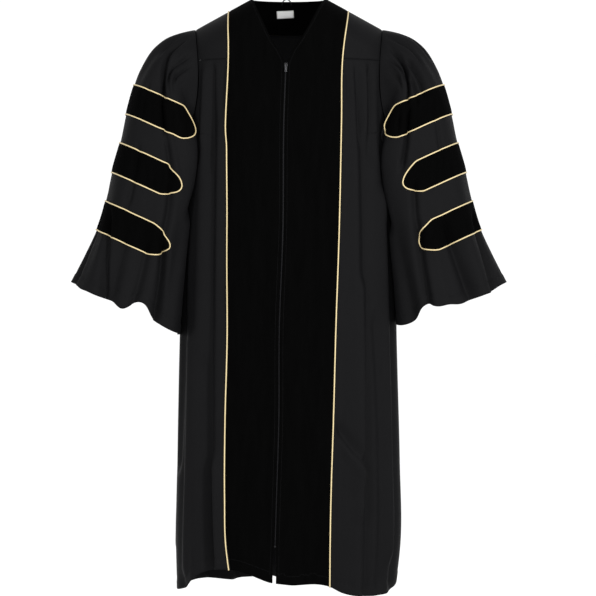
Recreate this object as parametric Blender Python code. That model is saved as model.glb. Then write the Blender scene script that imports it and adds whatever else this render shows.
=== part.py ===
"""A doctoral graduation gown, hollow, as it hangs on a general figure with nobody in it.

Metres, +Z up, the front faces -Y. The origin is the base of the neck, on the shoulder line, where
the wearer holds the gown up. Left and right are the wearer's, so the right side is at -X.
A drop is a distance down from the origin, so that z = -drop.
"""
import math
from collections import namedtuple

import bmesh
import bpy
import numpy as np
from mathutils import Vector

# Cloth and seams
SEAM_GAP = 0.0003
CLOTH_WALL = 0.0015
VELVET_WALL = 0.0020
LIFT = 0.0005               # room under a cord on the body's panels
SLEEVE_LIFT = 0.0022        # room under what lies on the curved sleeves
SURFACE_STEP = 0.0004       # step for the slopes of a surface

# Shoulders and neck
NECK_HALF = 0.084           # neck point, from the middle
BACK_NECK_DEPTH = 0.072
BACK_NECK_RISE = 0.006
SHOULDER_HALF = 0.214
SHOULDER_DROP = 0.070
PIPING_AT_SHOULDER = 0.136
FRONT_ROLL = 0.075          # how far down the shoulder rolls over to the front
BACK_ROLL = 0.115
BAND_DROP = 0.066           # lower edge of the neck band at the middle of the back

# Yoke, armhole and hem
FRONT_YOKE_DROP = 0.147
BACK_YOKE_DROP = 0.160
ARMHOLE_DROP = 0.300
ARMHOLE_WAIST = 0.205       # half width of the body between the armholes
LEVEL_DROP = 0.400          # below this the rows of a panel run level
BACK_HEM_DROP = 1.350
SIDE_ROUNDNESS = 2.4        # power of the body's rounded sections
YOKE_ROWS = 7
ARMHOLE_TURNS = 7           # rows from the yoke seam round to the bottom of the armhole
LOWER_ROWS = 9
BAND_COLUMNS = 17

# Zip
ZIP_TOP = 0.158
ZIP_END = 1.238
CHAIN_WIDTH = 0.0040
CHAIN_WALL = 0.0016
CHAIN_INSET = 0.0002
TAPE_WALL = 0.0008
STOP_SIZE = (0.0044, 0.0022, 0.0040)
ZIP_OPENING = 0.0050        # distance between the velvet edges over the chain
TAPE_WIDTH = 0.012
SLIDER_SIZE = (0.0085, 0.0020, 0.0105)
SLIDER_NECK = (0.0042, 0.0020)   # width and depth of its part between the velvet edges
PULL_SIZE = (0.0055, 0.0012, 0.0190)
PULL_EYE = 0.0009           # how far the pull reaches above its pin
PULL_OUT = 0.0017           # from the slider's face to the pin
METAL_EASE = 0.0004
PIN_RISE = 0.0030
PULL_LEAN = math.radians(-4.0)
SLIDER_DROP = 0.1640

# Piping, bars and small pieces
PIPING_RADIUS = 0.0019
BAR_COUNT = 3
BAR_TOP = 0.210             # middle of the first bar, along the sleeve from the shoulder
BAR_PITCH = 0.1335
BAR_WIDTH = 0.066
BAR_ROUND = 0.18            # share of a bar's half length taken by its rounded end
BAR_HALF_LENGTH = 0.20
LABEL_SIZE = (0.042, 0.019)
LABEL_WALL = 0.0008
LABEL_TURN = math.radians(-3.0)
LABEL_MIDDLE = -0.0093
LABEL_DROP = 0.0190
LABEL_ROOM = 0.0018
LOOP_MIDDLE = -0.006
LOOP_WIDTH = 0.022
LOOP_HEIGHT = 0.006
LOOP_ROOT = 0.008           # how far the loop's ends lie below the neckline
LOOP_RADIUS = 0.0013

# Sleeve
SLEEVE_TILT = math.radians(25.0)
SLEEVE_ROUNDNESS = 3.0
SLEEVE_COLUMNS = 30
SLEEVE_CLEARANCE = 0.0065
CAP_SHARE = 0.13            # share of the rows over which the armhole turns into a section

Section = namedtuple("Section", "drop right left front back")
SECTIONS = (
    Section(0.136, 0.234, 0.234, 0.116, 0.122),
    Section(0.300, 0.236, 0.236, 0.128, 0.130),
    Section(0.500, 0.243, 0.243, 0.136, 0.137),
    Section(0.780, 0.2505, 0.247, 0.145, 0.150),
    Section(1.060, 0.256, 0.254, 0.153, 0.163),
    Section(1.240, 0.259, 0.256, 0.158, 0.172),
    Section(1.360, 0.256, 0.243, 0.160, 0.176),
)

Seams = namedtuple("Seams", "drop zip_line piping_right piping_left")
SEAMS = (
    Seams(0.034, -0.004, -0.1365, 0.1345),
    Seams(0.144, -0.006, -0.1353, 0.1205),
    Seams(0.290, -0.011, -0.1410, 0.1175),
    Seams(0.530, -0.013, -0.1405, 0.1123),
    Seams(0.760, -0.021, -0.1368, 0.1045),
    Seams(0.960, -0.022, -0.1412, 0.0990),
    Seams(1.130, -0.027, -0.1418, 0.0935),
    Seams(1.235, -0.030, -0.1392, 0.0916),
    Seams(1.320, -0.032, -0.1290, 0.0909),
)

NeckEdge = namedtuple("NeckEdge", "drop right left")
NECK_EDGES = (
    NeckEdge(0.000, -0.0840, 0.0840),
    NeckEdge(0.028, -0.0740, 0.0680),
    NeckEdge(0.066, -0.0570, 0.0490),
    NeckEdge(0.112, -0.0345, 0.0215),
    NeckEdge(0.132, -0.0205, 0.0080),
    NeckEdge(0.158, -0.0085, -0.0035),
)

Hem = namedtuple("Hem", "angle drop")
FRONT_HEM = (
    Hem(-90, 1.350),
    Hem(-76, 1.344),
    Hem(-66, 1.325),
    Hem(-58, 1.298),
    Hem(-42, 1.290),
    Hem(-14, 1.317),
    Hem(0, 1.322),
    Hem(30, 1.326),
    Hem(42, 1.345),
    Hem(62, 1.352),
    Hem(78, 1.340),
    Hem(90, 1.325),
)

Fold = namedtuple("Fold", "top_angle hem_angle spread depth start")
FOLDS = (
    Fold(-57.5, -47.5, 2.8, 0.0050, 0.15),
    Fold(-62.0, -54.5, 2.8, -0.0090, 0.15),
    Fold(-66.5, -63.0, 3.4, 0.0050, 0.15),
    Fold(-73.0, -73.0, 3.8, -0.0060, 0.62),
    Fold(55.0, 47.0, 3.0, 0.0055, 0.15),
    Fold(60.0, 54.5, 2.8, -0.0080, 0.15),
    Fold(65.5, 66.0, 3.6, 0.0045, 0.15),
    Fold(49.0, 37.0, 3.6, -0.0045, 0.62),
)
FLUTE_COUNT = 7             # across the back, from armhole to armhole
FLUTE_DEPTH = 0.0085
FLUTE_HALF_ANGLE = 62.0

SleeveRow = namedtuple("SleeveRow", "out out_drop seam seam_drop depth")
SLEEVE_ROWS = (
    SleeveRow(0.2150, 0.0700, 0.2380, 0.3000, 0.074),
    SleeveRow(0.2640, 0.0815, 0.2180, 0.3080, 0.086),
    SleeveRow(0.3080, 0.1125, 0.2020, 0.3180, 0.097),
    SleeveRow(0.3370, 0.1580, 0.1930, 0.3320, 0.105),
    SleeveRow(0.3560, 0.2080, 0.1880, 0.3540, 0.110),
    SleeveRow(0.3720, 0.2680, 0.1870, 0.3880, 0.113),
    SleeveRow(0.3840, 0.3260, 0.1930, 0.4280, 0.115),
    SleeveRow(0.4010, 0.3860, 0.2030, 0.4780, 0.117),
    SleeveRow(0.4150, 0.4500, 0.2130, 0.5360, 0.120),
    SleeveRow(0.4350, 0.5200, 0.2230, 0.6040, 0.123),
    SleeveRow(0.4650, 0.5860, 0.2320, 0.6760, 0.127),
    SleeveRow(0.4970, 0.6480, 0.2400, 0.7520, 0.131),
)

SleeveFold = namedtuple("SleeveFold", "cap_angle cuff_angle spread cap_depth cuff_depth")
SLEEVE_FOLDS = (
    SleeveFold(34, 40, 9, -0.0070, -0.0060),
    SleeveFold(62, 74, 9, -0.0075, -0.0110),
    SleeveFold(92, 108, 10, 0.0040, 0.0130),
    SleeveFold(118, 132, 9, -0.0050, -0.0130),
    SleeveFold(-34, -38, 9, -0.0065, -0.0070),
    SleeveFold(-62, -72, 10, 0.0050, 0.0100),
    SleeveFold(-92, -106, 9, -0.0065, -0.0120),
    SleeveFold(-120, -140, 11, 0.0040, 0.0110),
)

Bar = namedtuple("Bar", "right_tip left_tip back_tip")
BARS = (
    Bar(134, 131, 122),
    Bar(119, 111, 108),
    Bar(119, 108, 104),
)

Finish = namedtuple("Finish", "color roughness metallic")
GOWN_CLOTH = Finish((0.016, 0.016, 0.018, 1), 0.62, 0.0)
VELVET = Finish((0.004, 0.004, 0.0045, 1), 0.85, 0.0)
GOLD_CORD = Finish((0.62, 0.42, 0.16, 1), 0.38, 0.35)
ZIP_CHAIN = Finish((0.045, 0.045, 0.048, 1), 0.40, 0.0)
ZIP_TAPE = Finish((0.012, 0.012, 0.013, 1), 0.80, 0.0)
ZIP_METAL = Finish((0.050, 0.050, 0.052, 1), 0.32, 0.85)
LABEL_CLOTH = Finish((0.82, 0.82, 0.80, 1), 0.55, 0.0)


def clear_scene():
    """Removes what is in the file."""
    for old in list(bpy.data.objects):
        bpy.data.objects.remove(old)


def column(table, name):
    """One named column of a table, as numbers."""
    return np.array([getattr(row, name) for row in table], float)


def smooth_read(table, key, name, at):
    """A smooth curve through a table's column, level past both ends."""
    keys = column(table, key)
    values = column(table, name)
    slopes = np.gradient(values, keys)
    at = np.asarray(at, float)
    low = np.clip(np.searchsorted(keys, at) - 1, 0, len(keys) - 2)
    step = keys[low + 1] - keys[low]
    t = np.clip((at - keys[low]) / step, 0, 1)
    first = (2 * t ** 3 - 3 * t ** 2 + 1) * values[low] + (t ** 3 - 2 * t ** 2 + t) * step * slopes[low]
    last = (3 * t ** 2 - 2 * t ** 3) * values[low + 1] + (t ** 3 - t ** 2) * step * slopes[low + 1]
    return first + last


def ease(value):
    """0 to 1, with a soft start and end."""
    t = np.clip(value, 0, 1)
    return t * t * (3 - 2 * t)


def bump(distance, spread):
    """A soft ridge, 1 at its middle."""
    return np.exp(-(distance / spread) ** 2)


def section_radius(angle, drop):
    """How far the body's section reaches at an angle from the middle of the front."""
    side = np.where(np.sin(angle) < 0, smooth_read(SECTIONS, "drop", "right", drop),
                    smooth_read(SECTIONS, "drop", "left", drop))
    deep = np.where(np.cos(angle) > 0, smooth_read(SECTIONS, "drop", "front", drop),
                    smooth_read(SECTIONS, "drop", "back", drop))
    power = SIDE_ROUNDNESS
    return ((np.abs(np.sin(angle)) / side) ** power + (np.abs(np.cos(angle)) / deep) ** power) ** (-1 / power)


def front_angle(x, drop):
    """The angle of the point of the front section at x."""
    x = np.asarray(x, float)
    side = np.where(x < 0, smooth_read(SECTIONS, "drop", "right", drop),
                    smooth_read(SECTIONS, "drop", "left", drop))
    deep = smooth_read(SECTIONS, "drop", "front", drop)
    share = np.clip(np.abs(x) / side, 0, 1)
    return np.arctan2(x, deep * (1 - share ** SIDE_ROUNDNESS) ** (1 / SIDE_ROUNDNESS))


def back_angle(x, drop):
    """The angle of the point of the back section at x, from the middle of the front."""
    x = np.asarray(x, float)
    side = np.where(x < 0, smooth_read(SECTIONS, "drop", "right", drop),
                    smooth_read(SECTIONS, "drop", "left", drop))
    deep = smooth_read(SECTIONS, "drop", "back", drop)
    share = np.clip(np.abs(x) / side, 0, 1)
    return np.arctan2(x, -deep * (1 - share ** SIDE_ROUNDNESS) ** (1 / SIDE_ROUNDNESS))


def shoulder_line(x):
    """Drop of the shoulder seam at x, level between the neck points."""
    slope = SHOULDER_DROP / (SHOULDER_HALF - NECK_HALF)
    return np.clip((np.abs(x) - NECK_HALF) * slope, 0, None)


def back_neck_curve(x):
    """Depth of the back neckline behind the shoulder line at x."""
    return np.sqrt(np.clip(1 - (x / NECK_HALF) ** 2, 0, 1))


def fold_lift(angle, drop):
    """How far the folds and flutes push the body's cloth out."""
    degrees = np.degrees(angle)
    down = np.clip(drop / BACK_HEM_DROP, 0, 1)
    lift = np.zeros(np.broadcast(degrees, drop).shape)
    for fold in FOLDS:
        middle = fold.top_angle + (fold.hem_angle - fold.top_angle) * down
        grown = ease((drop - fold.start) / 0.22) * (0.75 + 0.5 * down)
        lift = lift + fold.depth * grown * bump(degrees - middle, fold.spread)
    from_back = np.where(degrees > 0, 180 - degrees, -180 - degrees)
    flute = np.cos(from_back / FLUTE_HALF_ANGLE * math.pi * FLUTE_COUNT + 0.5 * np.sin(from_back / 17))
    edge = ease((FLUTE_HALF_ANGLE - np.abs(from_back)) / 12)
    grown = ease((drop - BACK_YOKE_DROP + 0.01) / 0.16) * (0.7 + 0.6 * down)
    return lift + FLUTE_DEPTH * flute * edge * grown * (np.cos(angle) < 0)


def body_point(angle, drop):
    """A point of the body's cloth, in the middle of its wall.

    Above the chest the section rolls in to the shoulder seam, or at the back to the neckline.
    """
    angle = np.asarray(angle, float)
    drop = np.asarray(drop, float)
    radius = section_radius(angle, np.maximum(drop, SECTIONS[0].drop))
    x = radius * np.sin(angle)
    at_back = np.cos(angle) < 0
    neck = np.where(at_back, back_neck_curve(x), 0)
    ridge = np.where(at_back & (np.abs(x) < NECK_HALF), -BACK_NECK_RISE * neck, shoulder_line(x))
    drop = np.maximum(drop, ridge)
    radius = section_radius(angle, drop) + fold_lift(angle, drop)
    x = radius * np.sin(angle)
    deep = -radius * np.cos(angle)
    start = np.where(at_back, BACK_NECK_DEPTH * neck + SEAM_GAP, -SEAM_GAP)
    roll = np.clip((drop - ridge) / np.where(at_back, BACK_ROLL, FRONT_ROLL), 0, 1)
    y = start + (deep - start) * np.sqrt(1 - (1 - roll) ** 2)
    return np.stack([x, y, -drop], -1)


def unit(vector):
    """Vectors of length one."""
    return vector / np.maximum(np.linalg.norm(vector, axis=-1, keepdims=True), 1e-12)


def body_normal(angle, drop):
    """The way out of the body's cloth."""
    here = body_point(angle, drop)
    below = body_point(angle, -here[..., 2] + SURFACE_STEP)
    across = body_point(angle + SURFACE_STEP, drop) - body_point(angle - SURFACE_STEP, drop)
    return unit(np.cross(below - here, across))


def armhole_half(drop):
    """Half width of the body at the armhole seam."""
    middle = 0.5 * (SHOULDER_DROP + ARMHOLE_DROP)
    upper = ARMHOLE_WAIST + (SHOULDER_HALF - ARMHOLE_WAIST) * np.clip((middle - drop) / (middle - SHOULDER_DROP), 0, 1) ** 2
    side = smooth_read(SECTIONS, "drop", "right", ARMHOLE_DROP)
    turn = np.clip((drop - middle) / (ARMHOLE_DROP - middle), 0, 1)
    return np.where(drop < middle, upper, ARMHOLE_WAIST + (side - ARMHOLE_WAIST) * (1 - np.sqrt(1 - turn ** 2)))


def armhole_point(angle, side):
    """A point of the armhole seam: 0 at the shoulder, positive to the front, half a turn under the arm."""
    middle = 0.5 * (SHOULDER_DROP + ARMHOLE_DROP)
    drop = middle - (ARMHOLE_DROP - middle) * np.cos(angle)
    half = armhole_half(drop) * side
    turned = np.where(np.sin(angle) >= 0, front_angle(half, np.maximum(drop, SECTIONS[0].drop)),
                      back_angle(half, np.maximum(drop, SECTIONS[0].drop)))
    return body_point(turned, drop), body_normal(turned, drop)


def make_object(name, mesh, finish):
    """An object of that mesh with its own material."""
    thing = bpy.data.objects.new(name, mesh)
    bpy.context.scene.collection.objects.link(thing)
    material = bpy.data.materials.new(name)
    material.use_nodes = True
    shader = material.node_tree.nodes["Principled BSDF"]
    shader.inputs["Base Color"].default_value = finish.color
    shader.inputs["Roughness"].default_value = finish.roughness
    shader.inputs["Metallic"].default_value = finish.metallic
    mesh.materials.append(material)
    mesh.shade_smooth()
    mesh.set_sharp_from_angle(angle=math.radians(50))
    return thing


def wall(name, points, normals, thickness, finish, ring=False):
    """A closed wall of cloth round a grid of points, as a sheet or, with ring, as a tube."""
    rows, columns = points.shape[:2]
    faces_across = columns if ring else columns - 1
    shape = bmesh.new()
    sides = []
    for way in (0.5, -0.5):
        moved = points + normals * thickness * way
        sides.append([[shape.verts.new(p) for p in row] for row in moved])
    outer, inner = sides
    for i in range(rows - 1):
        for j in range(faces_across):
            k = (j + 1) % columns
            shape.faces.new((outer[i][j], outer[i + 1][j], outer[i + 1][k], outer[i][k]))
            shape.faces.new((inner[i][j], inner[i][k], inner[i + 1][k], inner[i + 1][j]))
    for j in range(faces_across):
        k = (j + 1) % columns
        shape.faces.new((outer[0][j], outer[0][k], inner[0][k], inner[0][j]))
        shape.faces.new((outer[-1][k], outer[-1][j], inner[-1][j], inner[-1][k]))
    if not ring:
        for i in range(rows - 1):
            shape.faces.new((outer[i + 1][0], outer[i][0], inner[i][0], inner[i + 1][0]))
            shape.faces.new((outer[i][-1], outer[i + 1][-1], inner[i + 1][-1], inner[i][-1]))
    bmesh.ops.recalc_face_normals(shape, faces=shape.faces)
    mesh = bpy.data.meshes.new(name)
    shape.to_mesh(mesh)
    shape.free()
    return make_object(name, mesh, finish)


def cord(name, points, radius, finish, closed=False):
    """A round cord along points, as a bevelled curve with filled ends."""
    curve = bpy.data.curves.new(name, "CURVE")
    curve.dimensions = "3D"
    curve.bevel_depth = radius
    curve.bevel_resolution = 1
    curve.use_fill_caps = not closed
    line = curve.splines.new("POLY")
    line.points.add(len(points) - 1)
    for spot, place in zip(line.points, points):
        spot.co = (*place, 1)
    line.use_cyclic_u = closed
    thing = bpy.data.objects.new(name, curve)
    bpy.context.scene.collection.objects.link(thing)
    graph = bpy.context.evaluated_depsgraph_get()
    mesh = bpy.data.meshes.new_from_object(thing.evaluated_get(graph))
    bpy.data.objects.remove(thing)
    mesh.materials.clear()
    return make_object(name, mesh, finish)


def between(first, last, shares):
    """Rows of values from the first edge to the last, one column for each share."""
    first = np.asarray(first, float)[:, None]
    last = np.asarray(last, float)[:, None]
    return first + (last - first) * np.asarray(shares, float)[None, :]


def front_hem(angle):
    """Drop of the hem at an angle of the front."""
    return smooth_read(FRONT_HEM, "angle", "drop", np.degrees(angle))


def back_hem(angle):
    """Drop of the hem at an angle of the back, level but for its waves."""
    from_back = np.pi - np.abs(angle)
    side = np.where(angle < 0, FRONT_HEM[0].drop, FRONT_HEM[-1].drop)
    level = BACK_HEM_DROP + 0.004 * np.cos(9 * from_back)
    return side + (level - side) * ease((np.pi / 2 - from_back) / 0.35)


def lower_rows(angles, count, hem):
    """Drops of the rows below the level line, down to the hem, for a row of columns' angles."""
    shares = (np.arange(count) + 1.0)[:, None] / count
    return LEVEL_DROP + shares * (hem(angles) - LEVEL_DROP)


def body_panel(name, angles, drops, thickness, finish):
    """A wall of the body's cloth through a grid of angles and drops."""
    return wall(name, body_point(angles, drops), body_normal(angles, drops), thickness, finish)


def piping_line(side, drop):
    """x of the piping on that side at a drop."""
    name = "piping_left" if side > 0 else "piping_right"
    return smooth_read(SEAMS, "drop", name, drop)


def opening_edge(side, drop):
    """x of a velvet panel's inner edge: the neck edge, the zip edge, and the vent below the zip."""
    name = "left" if side > 0 else "right"
    neck = smooth_read(NECK_EDGES, "drop", name, drop)
    vent = 0.0012 * ease((drop - ZIP_END) / 0.08)
    edge = smooth_read(SEAMS, "drop", "zip_line", drop) + side * (0.5 * ZIP_OPENING + vent)
    return np.where(drop < NECK_EDGES[-1].drop, neck, edge)


def yoke_seam_rows():
    """Drops of the yoke's rows where it meets the velvet."""
    top = float(shoulder_line(PIPING_AT_SHOULDER))
    return top + np.linspace(0, 1, YOKE_ROWS) ** 1.6 * (FRONT_YOKE_DROP - top)


def upper_seam_rows():
    """Drops of the side front's rows where it meets the velvet, down to the level line."""
    return np.linspace(FRONT_YOKE_DROP, LEVEL_DROP, ARMHOLE_TURNS + 2)


def lower_seam_depths():
    """Drops at which the seams are read below the level line."""
    return LEVEL_DROP + (np.arange(LOWER_ROWS) + 1.0) / LOWER_ROWS * (SEAMS[-1].drop - LEVEL_DROP)


def velvet_front(side, label):
    """The velvet panel beside the zip, from the shoulder seam to the hem."""
    outer = np.append(yoke_seam_rows(), upper_seam_rows()[1:])
    neck = NECK_EDGES[-2].drop * np.linspace(0, 1, YOKE_ROWS) ** 1.2
    inner = np.append(neck, np.linspace(NECK_EDGES[-1].drop, LEVEL_DROP, ARMHOLE_TURNS + 1))
    first = front_angle(opening_edge(side, inner), np.maximum(inner, SECTIONS[0].drop))
    seam = piping_line(side, outer) - side * 0.5 * SEAM_GAP
    last = front_angle(seam, np.maximum(outer, SECTIONS[0].drop))
    shares = np.linspace(0, 1, 5)
    angles = between(first, last, shares)
    drops = between(inner, outer, shares)
    drops[0] = 0
    depth = lower_seam_depths()
    edge = front_angle(opening_edge(side, depth), depth)
    seam = front_angle(piping_line(side, depth) - side * 0.5 * SEAM_GAP, depth)
    low_angles = between(edge, seam, shares)
    low_drops = lower_rows(low_angles[-1], LOWER_ROWS, front_hem)
    angles = np.vstack([angles, low_angles])
    drops = np.vstack([drops, low_drops])
    return body_panel(f"velvet_front_{label}", angles, drops, VELVET_WALL, VELVET)


def front_yoke(side, label):
    """The yoke between the shoulder seam, the armhole and the yoke seam."""
    inner = yoke_seam_rows()
    share = (inner - inner[0]) / (inner[-1] - inner[0])
    outer = SHOULDER_DROP + share * (FRONT_YOKE_DROP - SHOULDER_DROP)
    seam = piping_line(side, inner) + side * 0.5 * SEAM_GAP
    first = front_angle(seam, np.maximum(inner, SECTIONS[0].drop))
    last = front_angle(side * armhole_half(outer), np.maximum(outer, SECTIONS[0].drop))
    shares = np.linspace(0, 1, 5)
    angles = between(first, last, shares)
    drops = between(inner, outer, shares)
    drops[0] = 0
    drops[-1] -= 0.5 * SEAM_GAP
    return body_panel(f"front_yoke_{label}", angles, drops, CLOTH_WALL, GOWN_CLOTH)


def side_front(side, label):
    """The fluted panel between the velvet and the side seam, below the yoke."""
    turns = ARMHOLE_TURNS
    middle = 0.5 * (SHOULDER_DROP + ARMHOLE_DROP)
    start = math.acos((middle - FRONT_YOKE_DROP) / (ARMHOLE_DROP - middle))
    around = start + (math.pi - start) * np.linspace(0, 1, turns)
    outer = np.append(middle - (ARMHOLE_DROP - middle) * np.cos(around), [0.345, LEVEL_DROP])
    inner = upper_seam_rows()
    half = np.where(outer <= ARMHOLE_DROP, armhole_half(outer), 1.0)
    seam = piping_line(side, inner) + side * 0.5 * SEAM_GAP
    first = front_angle(seam, np.maximum(inner, SECTIONS[0].drop))
    last = front_angle(side * half, outer)
    last[turns - 1:] = side * (0.5 * math.pi - 0.0007)
    shares = np.linspace(0, 1, 12)
    angles = between(first, last, shares)
    drops = between(inner, outer, shares)
    drops[0] += 0.5 * SEAM_GAP
    depth = lower_seam_depths()
    seam = front_angle(piping_line(side, depth) + side * 0.5 * SEAM_GAP, depth)
    low_angles = between(seam, np.full(LOWER_ROWS, side * (0.5 * math.pi - 0.0007)), shares)
    low_drops = lower_rows(low_angles[-1], LOWER_ROWS, front_hem)
    angles = np.vstack([angles, low_angles])
    drops = np.vstack([drops, low_drops])
    return body_panel(f"side_front_{label}", angles, drops, CLOTH_WALL, GOWN_CLOTH)


def back_turned(x, drop):
    """Angle at the back as a turn from the middle of the back, positive to +X."""
    angle = back_angle(x, drop)
    return np.where(angle > 0, math.pi - angle, -math.pi - angle)


def from_turned(turned):
    """Angle from the middle of the front for a turn from the middle of the back."""
    return np.where(turned >= 0, math.pi - turned, -math.pi - turned)


def band_edge(turn):
    """x and drop of the neck band's lower edge, for a turn of 0 to pi from the left to the right."""
    x = PIPING_AT_SHOULDER * np.cos(turn)
    start = shoulder_line(PIPING_AT_SHOULDER)
    return x, start + (BAND_DROP - start) * np.sin(turn) ** 0.8


def neck_band():
    """The velvet band round the back of the neck, from shoulder seam to shoulder seam."""
    turn = np.linspace(0, math.pi, BAND_COLUMNS)
    outer_x, outer_drop = band_edge(turn)
    inner_x = NECK_HALF * np.cos(turn)
    shares = np.linspace(0, 1, 5)
    x = between(inner_x, outer_x, shares)
    drop = between(np.full(turn.shape, -1.0), outer_drop - SEAM_GAP * 0.5, shares)
    drop[:, 1:] = between(-BACK_NECK_RISE * back_neck_curve(inner_x), outer_drop - SEAM_GAP * 0.5, shares)[:, 1:]
    drop[0] = -1.0
    drop[-1] = -1.0
    angles = back_angle(x, SECTIONS[0].drop)
    return body_panel("velvet_neck_band", angles.T, drop.T, VELVET_WALL, VELVET)


def back_yoke():
    """The back yoke, from the shoulder seams and the neck band down to the fluted back."""
    outside = np.linspace(SHOULDER_HALF, PIPING_AT_SHOULDER, 5)[:-1]
    band = band_edge(np.linspace(0, math.pi, BAND_COLUMNS))[0]
    x_top = np.concatenate([outside, band, -outside[::-1]])[::-1]
    across = x_top / SHOULDER_HALF
    start = shoulder_line(PIPING_AT_SHOULDER)
    inside = np.clip(np.abs(x_top) / PIPING_AT_SHOULDER, 0, 1)
    dip = start + (BAND_DROP - start) * np.sqrt(1 - inside ** 2) ** 0.8 + 0.5 * SEAM_GAP
    top = np.where(np.abs(x_top) < PIPING_AT_SHOULDER, dip, shoulder_line(x_top))
    share = (np.linspace(0, 1, 7) ** 1.5)[:, None]
    drops = top[None, :] + share * (BACK_YOKE_DROP - 0.5 * SEAM_GAP - top)[None, :]
    edge = SHOULDER_DROP + share * (BACK_YOKE_DROP - SHOULDER_DROP)
    x = across[None, :] * armhole_half(edge)
    x[0] = x_top
    drops[0] = np.where(np.abs(x_top) < PIPING_AT_SHOULDER, dip, 0)
    angles = back_angle(x, SECTIONS[0].drop)
    return body_panel("back_yoke", angles, drops, CLOTH_WALL, GOWN_CLOTH)


def back_body():
    """The fluted back below the yoke, from side seam to side seam."""
    turns = 6
    middle = 0.5 * (SHOULDER_DROP + ARMHOLE_DROP)
    start = math.acos((middle - BACK_YOKE_DROP) / (ARMHOLE_DROP - middle))
    around = start + (math.pi - start) * np.linspace(0, 1, turns)
    outer = np.append(middle - (ARMHOLE_DROP - middle) * np.cos(around), [0.345, LEVEL_DROP])
    centre = np.linspace(BACK_YOKE_DROP, LEVEL_DROP, len(outer))
    half = np.where(outer <= ARMHOLE_DROP, armhole_half(outer), 1.0)
    last = back_turned(half, outer)
    last[turns - 1:] = 0.5 * math.pi - 0.0007
    columns = 45
    across = np.linspace(-1, 1, columns)
    turned = last[:, None] * across[None, :]
    drops = centre[:, None] + (outer - centre)[:, None] * across[None, :] ** 4
    drops[0] += 0.5 * SEAM_GAP
    low_turned = np.repeat(turned[-1:], 7, axis=0)
    angles = from_turned(np.vstack([turned, low_turned]))
    drops = np.vstack([drops, lower_rows(angles[-1], 7, back_hem)])
    return body_panel("back", angles, drops, CLOTH_WALL, GOWN_CLOTH)


def sleeve_fold_lift(angle, along):
    """How far the sleeve's gathers and folds push its cloth out."""
    degrees = np.degrees(angle)
    lift = np.zeros(np.broadcast(degrees, along).shape)
    for fold in SLEEVE_FOLDS:
        middle = fold.cap_angle + (fold.cuff_angle - fold.cap_angle) * along
        depth = fold.cap_depth * bump(along - 0.2, 0.18) + fold.cuff_depth * ease((along - 0.55) / 0.45)
        lift = lift + depth * bump(degrees - middle, fold.spread)
    return lift * ease(along / 0.08)


def cuff_reach(angle):
    """How far down the rows go at an angle: the cuff's waves, and its fall under the arm."""
    degrees = np.degrees(angle)
    under = 0.020 * ease((np.abs(degrees) - 100) / 45)
    waves = 0.014 * bump(degrees - 62, 16) - 0.026 * bump(degrees - 102, 14) - 0.018 * bump(degrees + 100, 18)
    return 1 + under + waves


def sleeve_point(angle, along, side):
    """A point of a sleeve's cloth: angle 0 outside, positive to the front; along 0 at the armhole, 1 at the cuff."""
    angle = np.asarray(angle, float)
    along = np.asarray(along, float)
    row = along * (len(SLEEVE_ROWS) - 1)
    table = [SleevePlace(i, *r) for i, r in enumerate(SLEEVE_ROWS)]
    past = np.clip(row - (len(SLEEVE_ROWS) - 1), 0, None)
    out, out_drop, seam, seam_drop, depth = (
        smooth_read(table, "place", name, row)
        + past * (getattr(SLEEVE_ROWS[-1], name) - getattr(SLEEVE_ROWS[-2], name))
        for name in SleeveRow._fields)
    half = 0.5 * np.hypot(out - seam, out_drop - seam_drop)
    power = SLEEVE_ROUNDNESS
    reach = ((np.abs(np.cos(angle)) / half) ** power + (np.abs(np.sin(angle)) / depth) ** power) ** (-1 / power)
    reach = reach + sleeve_fold_lift(angle, along)
    across = reach * np.cos(angle) / half
    x = 0.5 * (out + seam) + 0.5 * across * (out - seam)
    drop = 0.5 * (out_drop + seam_drop) + 0.5 * across * (out_drop - seam_drop)
    y = -reach * np.sin(angle)
    x = keep_clear(x, y, drop, side)
    hole, way = armhole_point(angle, side)
    lift = SEAM_GAP + 0.5 * (CLOTH_WALL + VELVET_WALL)
    hole = hole + way * lift + np.array([side * 3 * SEAM_GAP, 0, 0])
    free = np.stack([side * x, y, -drop], -1)
    mix = ease(along / CAP_SHARE)[..., None]
    return hole + (free - hole) * mix


def keep_clear(x, y, drop, side):
    """Moves a sleeve's half distance x out to just clear of the body's side at that depth."""
    name = "left" if side > 0 else "right"
    wide = smooth_read(SECTIONS, "drop", name, drop)
    deep = np.where(y < 0, smooth_read(SECTIONS, "drop", "front", drop), smooth_read(SECTIONS, "drop", "back", drop))
    share = np.clip(np.abs(y) / deep, 0, 0.999)
    body = wide * (1 - share ** SIDE_ROUNDNESS) ** (1 / SIDE_ROUNDNESS)
    body = np.where(drop < ARMHOLE_DROP, np.minimum(body, armhole_half(drop)), body) + SLEEVE_CLEARANCE
    soft = 0.003
    return body + soft * np.logaddexp(0, (x - body) / soft)


SleevePlace = namedtuple("SleevePlace", ("place",) + SleeveRow._fields)


def sleeve_normal(angle, along, side):
    """The way out of a sleeve's cloth."""
    step = 0.004
    across = sleeve_point(angle + step, along, side) - sleeve_point(angle - step, along, side)
    down = sleeve_point(angle, along + step, side) - sleeve_point(angle, np.maximum(along - step, 0), side)
    return unit(np.cross(across, down)) * side


def sleeve_columns():
    """Angles of a sleeve's columns, closer together where its section turns most."""
    even = np.linspace(-math.pi, math.pi, SLEEVE_COLUMNS, endpoint=False)
    return even + 0.10 * np.sin(4 * even)


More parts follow.
